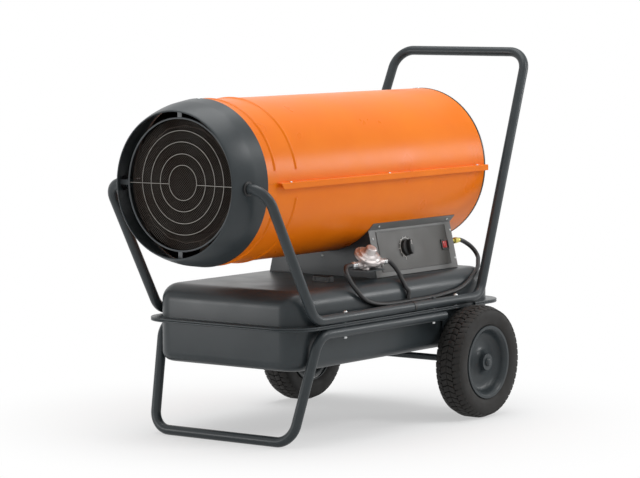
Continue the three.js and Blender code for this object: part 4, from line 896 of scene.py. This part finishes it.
near, foot_line = frame_low
far, top_line = frame_high
join(*[panel_block((*low, plate_top), (*high, ink_top)) for low, high in (
    (frame_low, (near + frame_line, top_line)), ((far - frame_line, foot_line), frame_high),
    (frame_low, (far, foot_line + frame_line)), ((near, top_line - frame_line), frame_high))])
keep("label_frame", dark_line, "heater")
panel_screws = [screw(on_panel(*spot, 0), panel_out, 3.8, 2.4) for spot in panel_screw_places]
strip_way = Vector((math.cos(strip_lean), 0, -math.sin(strip_lean)))
for along in strip_screw_places:
    spot = at(0, along, barrel_axis) + strip_way * (barrel_radius + 2) / 1000
    panel_screws.append(screw(spot, strip_way, 3.8, 2.4))
panel_screws.append(screw(at(0, 669, 476.5), (0, -1, 0), 4, 2.6))
join(*panel_screws)
smooth()
keep("panel_screws", zinc, "heater")


# ---- Thermostat knob
# Moulded black knob: a skirted disc with a deep grip bar with round ends and fine flutes along its
# rim. A white line on the bar points to the dial.
bar_radius, bar_height, bar_share, bar_middle = 21.5, 13.2, 0.4, 16.9
knob_flutes, flute_radius = 36, 23.1
knob_centre = on_panel(knob_along, knob_up, 0)
knob = spin_section([(0, 11.5), (17, 11.5), (21, 10.6), (22.6, 9), (23.5, 4), (23.5, 2.5),
                     (3.4, 2.5), (3.4, 8), (0, 8)], knob_centre, panel_out, 72)
deselect()
bpy.ops.mesh.primitive_cylinder_add(vertices=40, radius=bar_radius / 1000,
                                    depth=bar_height / 1000, location=(0, 0, 0))
grip = bpy.context.object
grip.scale = (bar_share, 1, 1)
bpy.ops.object.transform_apply(location=True, rotation=True, scale=True)
bevelled(2.2, 4)
grip.matrix_world = Matrix.Translation(knob_centre + panel_out * bar_middle / 1000) @ Matrix(
    (panel_along, panel_up, panel_out)).transposed().to_4x4()
flutes = []
for number in range(knob_flutes):
    angle = math.tau * number / knob_flutes
    spot = knob_centre + (panel_along * math.cos(angle)
                          + panel_up * math.sin(angle)) * flute_radius / 1000
    flutes.append(wire_between(spot + panel_out * 0.0028, spot + panel_out * 0.0088, 0.8, 6))
join(knob, grip, *flutes)
smooth()
keep("thermostat_grip_knob", nylon, "thermostat", ["thermostat_knob"])
panel_block((knob_along - 0.9, knob_up + 6, 23.4), (knob_along + 0.9, knob_up + 19, 23.65))
keep("knob_pointer", ink, "thermostat")


# ---- Rocker switch
# A red rocker in a black bezel, both moulded; the rocker is pushed to its OFF side.
switch_along, switch_up, rocker_half, rocker_tilt = 359, 66, 10, math.radians(-7)
bezel_half_length, bezel_half_height, well_half_length, well_half_height = 18, 15, 14.5, 10.6
bezel = panel_block((switch_along - bezel_half_length, switch_up - bezel_half_height, ink_top),
                    (switch_along + bezel_half_length, switch_up + bezel_half_height, 4.8))
hold(bezel)
bevelled(1.2, 3)
cut_by(bezel, panel_block(
    (switch_along - well_half_length, switch_up - well_half_height, -12),
    (switch_along + well_half_length, switch_up + well_half_height, 8)))
smooth()
keep("switch_frame", nylon, "heater", ["switch_bezel"])

# Moulded polycarbonate: bright red, glossy; its slight translucence is left out.
red_plastic = finish("moulded_red_polycarbonate", {"IOR": 1.58, "Specular IOR Level": 0.3},
                     ("#A51513", "#B31A17"), 8, (0.2, 0.3), 0.05, 1)
outline = []
for across, out in ((-13.5, 4.5), (-10, 5.9), (-6.7, 6.6), (0, 7.2), (6.7, 6.6), (10, 5.9),
                    (13.5, 4.5), (11.5, -1.5), (3, -6), (-3, -6), (-11.5, -1.5)):
    tipped = Matrix.Rotation(rocker_tilt, 2) @ Vector((across, out))
    outline.append(on_panel(switch_along + tipped.x, switch_up - rocker_half, tipped.y - 2))
pushed_outline(outline, panel_up * 2 * rocker_half / 1000)
bevelled(0.9, 3, 30)
smooth()
keep("switch_rocker", red_plastic, "switch", ["rocker"])


# ---- Inlet union
# Turned brass: a flanged elbow through the housing's rear wall, with hexagons for the spanner.
union_x, union_z, hose_x = 150, 497, 164


def hexagon_nut(start, end, radius, chamfer=1.0):
    """A hexagon between two points, with its edges chamfered."""
    nut = wire_between(start, end, radius, 6)
    bevelled(chamfer, 2)
    return nut


join(wire_between(at(union_x, 1064, union_z), at(union_x, 1081, union_z), 8, 32),
     hexagon_nut(at(union_x, 1078.4, union_z), at(union_x, 1087, union_z), 12),
     wire_between(at(union_x, 1083, union_z), at(hose_x, 1096, union_z), 7, 32),
     hexagon_nut(at(hose_x, 1094, union_z), at(hose_x, 1111.7, union_z), 9.5),
     wire_between(at(hose_x, 1106, union_z), at(hose_x, 1119, union_z), 7.6, 32))
smooth()
keep("brass_inlet_union", brass, "heater", ["inlet_union"])


# ---- Gas regulator
# Die-cast zinc: a shallow bowl and a ribbed bonnet with a domed spring cap, clamped rim to rim with
# small screws, tilted on a port bar with a plated nut at each end and a plug below.
regulator_centre = at(208, 600, 489)
regulator_way = Vector((0.53, -0.13, 0.84)).normalized()
port_x, port_z, lug_circle, lug_turn = 206, 470, 0.0345, 0.3

# Cast zinc: pale grey, with the fine grain of its mould; its warm pink tint is a painted reflection
# of the orange barrel.
cast_zinc = finish("die_cast_zinc_painted_reflection", {"Metallic": 0.75}, ("#B4ADAB", "#CCC6C4"), 14, (0.3, 0.45),
                   0.35, 1.4)


def port_bar(start, end, radius, sides):
    """A bar on the line of the regulator's two ports."""
    return wire_between(at(port_x, start, port_z), at(port_x, end, port_z), radius, sides)


def round_regulator(turn=0.0):
    """Six directions square to the regulator's own axis, turned by an angle."""
    return [Matrix.Rotation(math.tau * number / 6 + turn, 3, regulator_way)
            @ regulator_way.orthogonal().normalized() for number in range(6)]


bowl = spin_section([(0, -19), (14, -19), (18, -17.5), (27, -12), (34, -5.5), (38.5, -4),
                     (40, -2.6), (40, 0.6), (39.4, 1), (0, 1)], regulator_centre, regulator_way, 64)
bar = port_bar(546, 672, 9, 28)
port_boss = port_bar(570, 632, 13, 32)
bevelled(1.5)
plug = hexagon_nut(at(204, 596, 470), at(204, 596, 451), 10)
screw_lugs = [wire_between(regulator_centre + spoke * lug_circle - regulator_way * 0.003,
                           regulator_centre + spoke * lug_circle + regulator_way * 0.0009, 4.2, 20)
              for spoke in round_regulator(lug_turn)]
join(bowl, bar, port_boss, plug, *screw_lugs)
smooth()
keep("regulator_bowl", cast_zinc, "heater", ["regulator_body"])
bonnet = spin_section([(0, 1.3), (39.4, 1.3), (40, 1.8), (40, 4.2), (38.6, 5.6), (35, 6.2),
                       (31.5, 8.6), (28.5, 11.8), (21, 13.6), (17.6, 15.2), (16.6, 18),
                       (16.2, 27.5), (15.2, 30.6), (12.6, 32.6), (8, 33), (0, 33)],
                      regulator_centre, regulator_way, 64)
webs = [wire_between(regulator_centre + spoke * 0.012 + regulator_way * 0.0115,
                     regulator_centre + spoke * 0.031 + regulator_way * 0.0075, 1.9, 8)
        for spoke in round_regulator()]
join(bonnet, *webs)
smooth()
keep("regulator_cover", cast_zinc, "heater", ["regulator_bonnet"])
join(*[screw(regulator_centre + spoke * lug_circle + regulator_way * 0.006, regulator_way, 2.7, 2)
       for spoke in round_regulator(lug_turn)])
smooth()
keep("regulator_screws", zinc, "heater")
for end_name, start, end, seat in (("front", 526, 545.5, 541), ("rear", 672.5, 690, 677)):
    nut = hexagon_nut(at(port_x, start, port_z), at(port_x, end, port_z), 9, 1.2)
    join(nut, port_bar(seat - 1.2, seat + 1.2, 9.6, 28))
    smooth()
    keep(f"hose_nut_{end_name}", zinc, "heater", [f"regulator_nut_{end_name}"])


# ---- Floor and light
# A plain white floor that fades into a white background, one broad lamp above, three smaller ones
# round the heater, and soft fill.
def seen_directly(material):
    """1 for rays of the camera and of mirrored or clear surfaces, which see the white."""
    ray = add(material, "ShaderNodeLightPath")
    seen = add(material, "ShaderNodeMath", {0: (ray, "Is Camera Ray"), 1: (ray, "Is Glossy Ray")},
               operation="MAXIMUM")
    return add(material, "ShaderNodeMath",
               {0: (seen, "Value"), 1: (ray, "Is Transmission Ray")}, operation="MAXIMUM")


floor_material = bpy.data.materials.new("white_studio_floor")
floor_material.use_nodes = True
floor_material.node_tree.nodes.clear()
matt = add(floor_material, "ShaderNodeBsdfDiffuse", {"Color": (0.86, 0.86, 0.86, 1)})
glow = add(floor_material, "ShaderNodeEmission", {"Color": (1, 1, 1, 1), "Strength": 1.0})
spot = add(floor_material, "ShaderNodeTexCoord")
length = add(floor_material, "ShaderNodeVectorMath", {0: (spot, "Object")}, operation="LENGTH")
fade = add(floor_material, "ShaderNodeMapRange",
           {"Value": (length, "Value"), "From Min": 0.3, "From Max": 1.15},
           interpolation_type="SMOOTHSTEP")
lift = add(floor_material, "ShaderNodeMapRange",
           {"Value": (fade, "Result"), "To Min": 0.46, "To Max": 1.0})
share = add(floor_material, "ShaderNodeMath",
            {0: (seen_directly(floor_material), "Value"), 1: (lift, "Result")},
            operation="MULTIPLY")
mix = add(floor_material, "ShaderNodeMixShader",
          {"Fac": (share, "Value"), 1: (matt, "BSDF"), 2: (glow, "Emission")})
add(floor_material, "ShaderNodeOutputMaterial", {"Surface": (mix, "Shader")})
deselect()
bpy.ops.mesh.primitive_plane_add(size=60, location=(0, 0, 0))
floor = bpy.context.object
floor.name = "studio_floor"
floor.data.materials.append(floor_material)

world = bpy.data.worlds.new("studio")
bpy.context.scene.world = world
world.use_nodes = True
world.node_tree.nodes.clear()
fill = add(world, "ShaderNodeBackground", {"Color": (1, 1, 1, 1), "Strength": 0.43})
white = add(world, "ShaderNodeBackground", {"Color": (1, 1, 1, 1), "Strength": 1.0})
mix = add(world, "ShaderNodeMixShader",
          {"Fac": (seen_directly(world), "Value"), 1: (fill, "Background"),
           2: (white, "Background")})
add(world, "ShaderNodeOutputWorld", {"Surface": (mix, "Shader")})


def lamp(name, place, target, size, power):
    """A square soft box that faces a point."""
    deselect()
    bpy.ops.object.light_add(type="AREA", location=place)
    box = bpy.context.object
    box.name = name
    box.rotation_euler = (Vector(place) - Vector(target)).to_track_quat("Z", "Y").to_euler()
    box.data.size = size
    box.data.energy = power


lamp("soft_box_above", (-0.3, 0.2, 4.2), (0, 0, 0.5), 3.2, 92)
lamp("soft_box_right", (3.2, 1.4, 3.4), (0, 0, 0.6), 1.3, 42)
lamp("soft_box_back_right", (2.8, 3.6, 1.7), (0, 0, 0.6), 0.95, 32)
lamp("soft_box_front_left", (-2.5, -3.5, 0.56), (0, 0, 0.5), 0.95, 30)
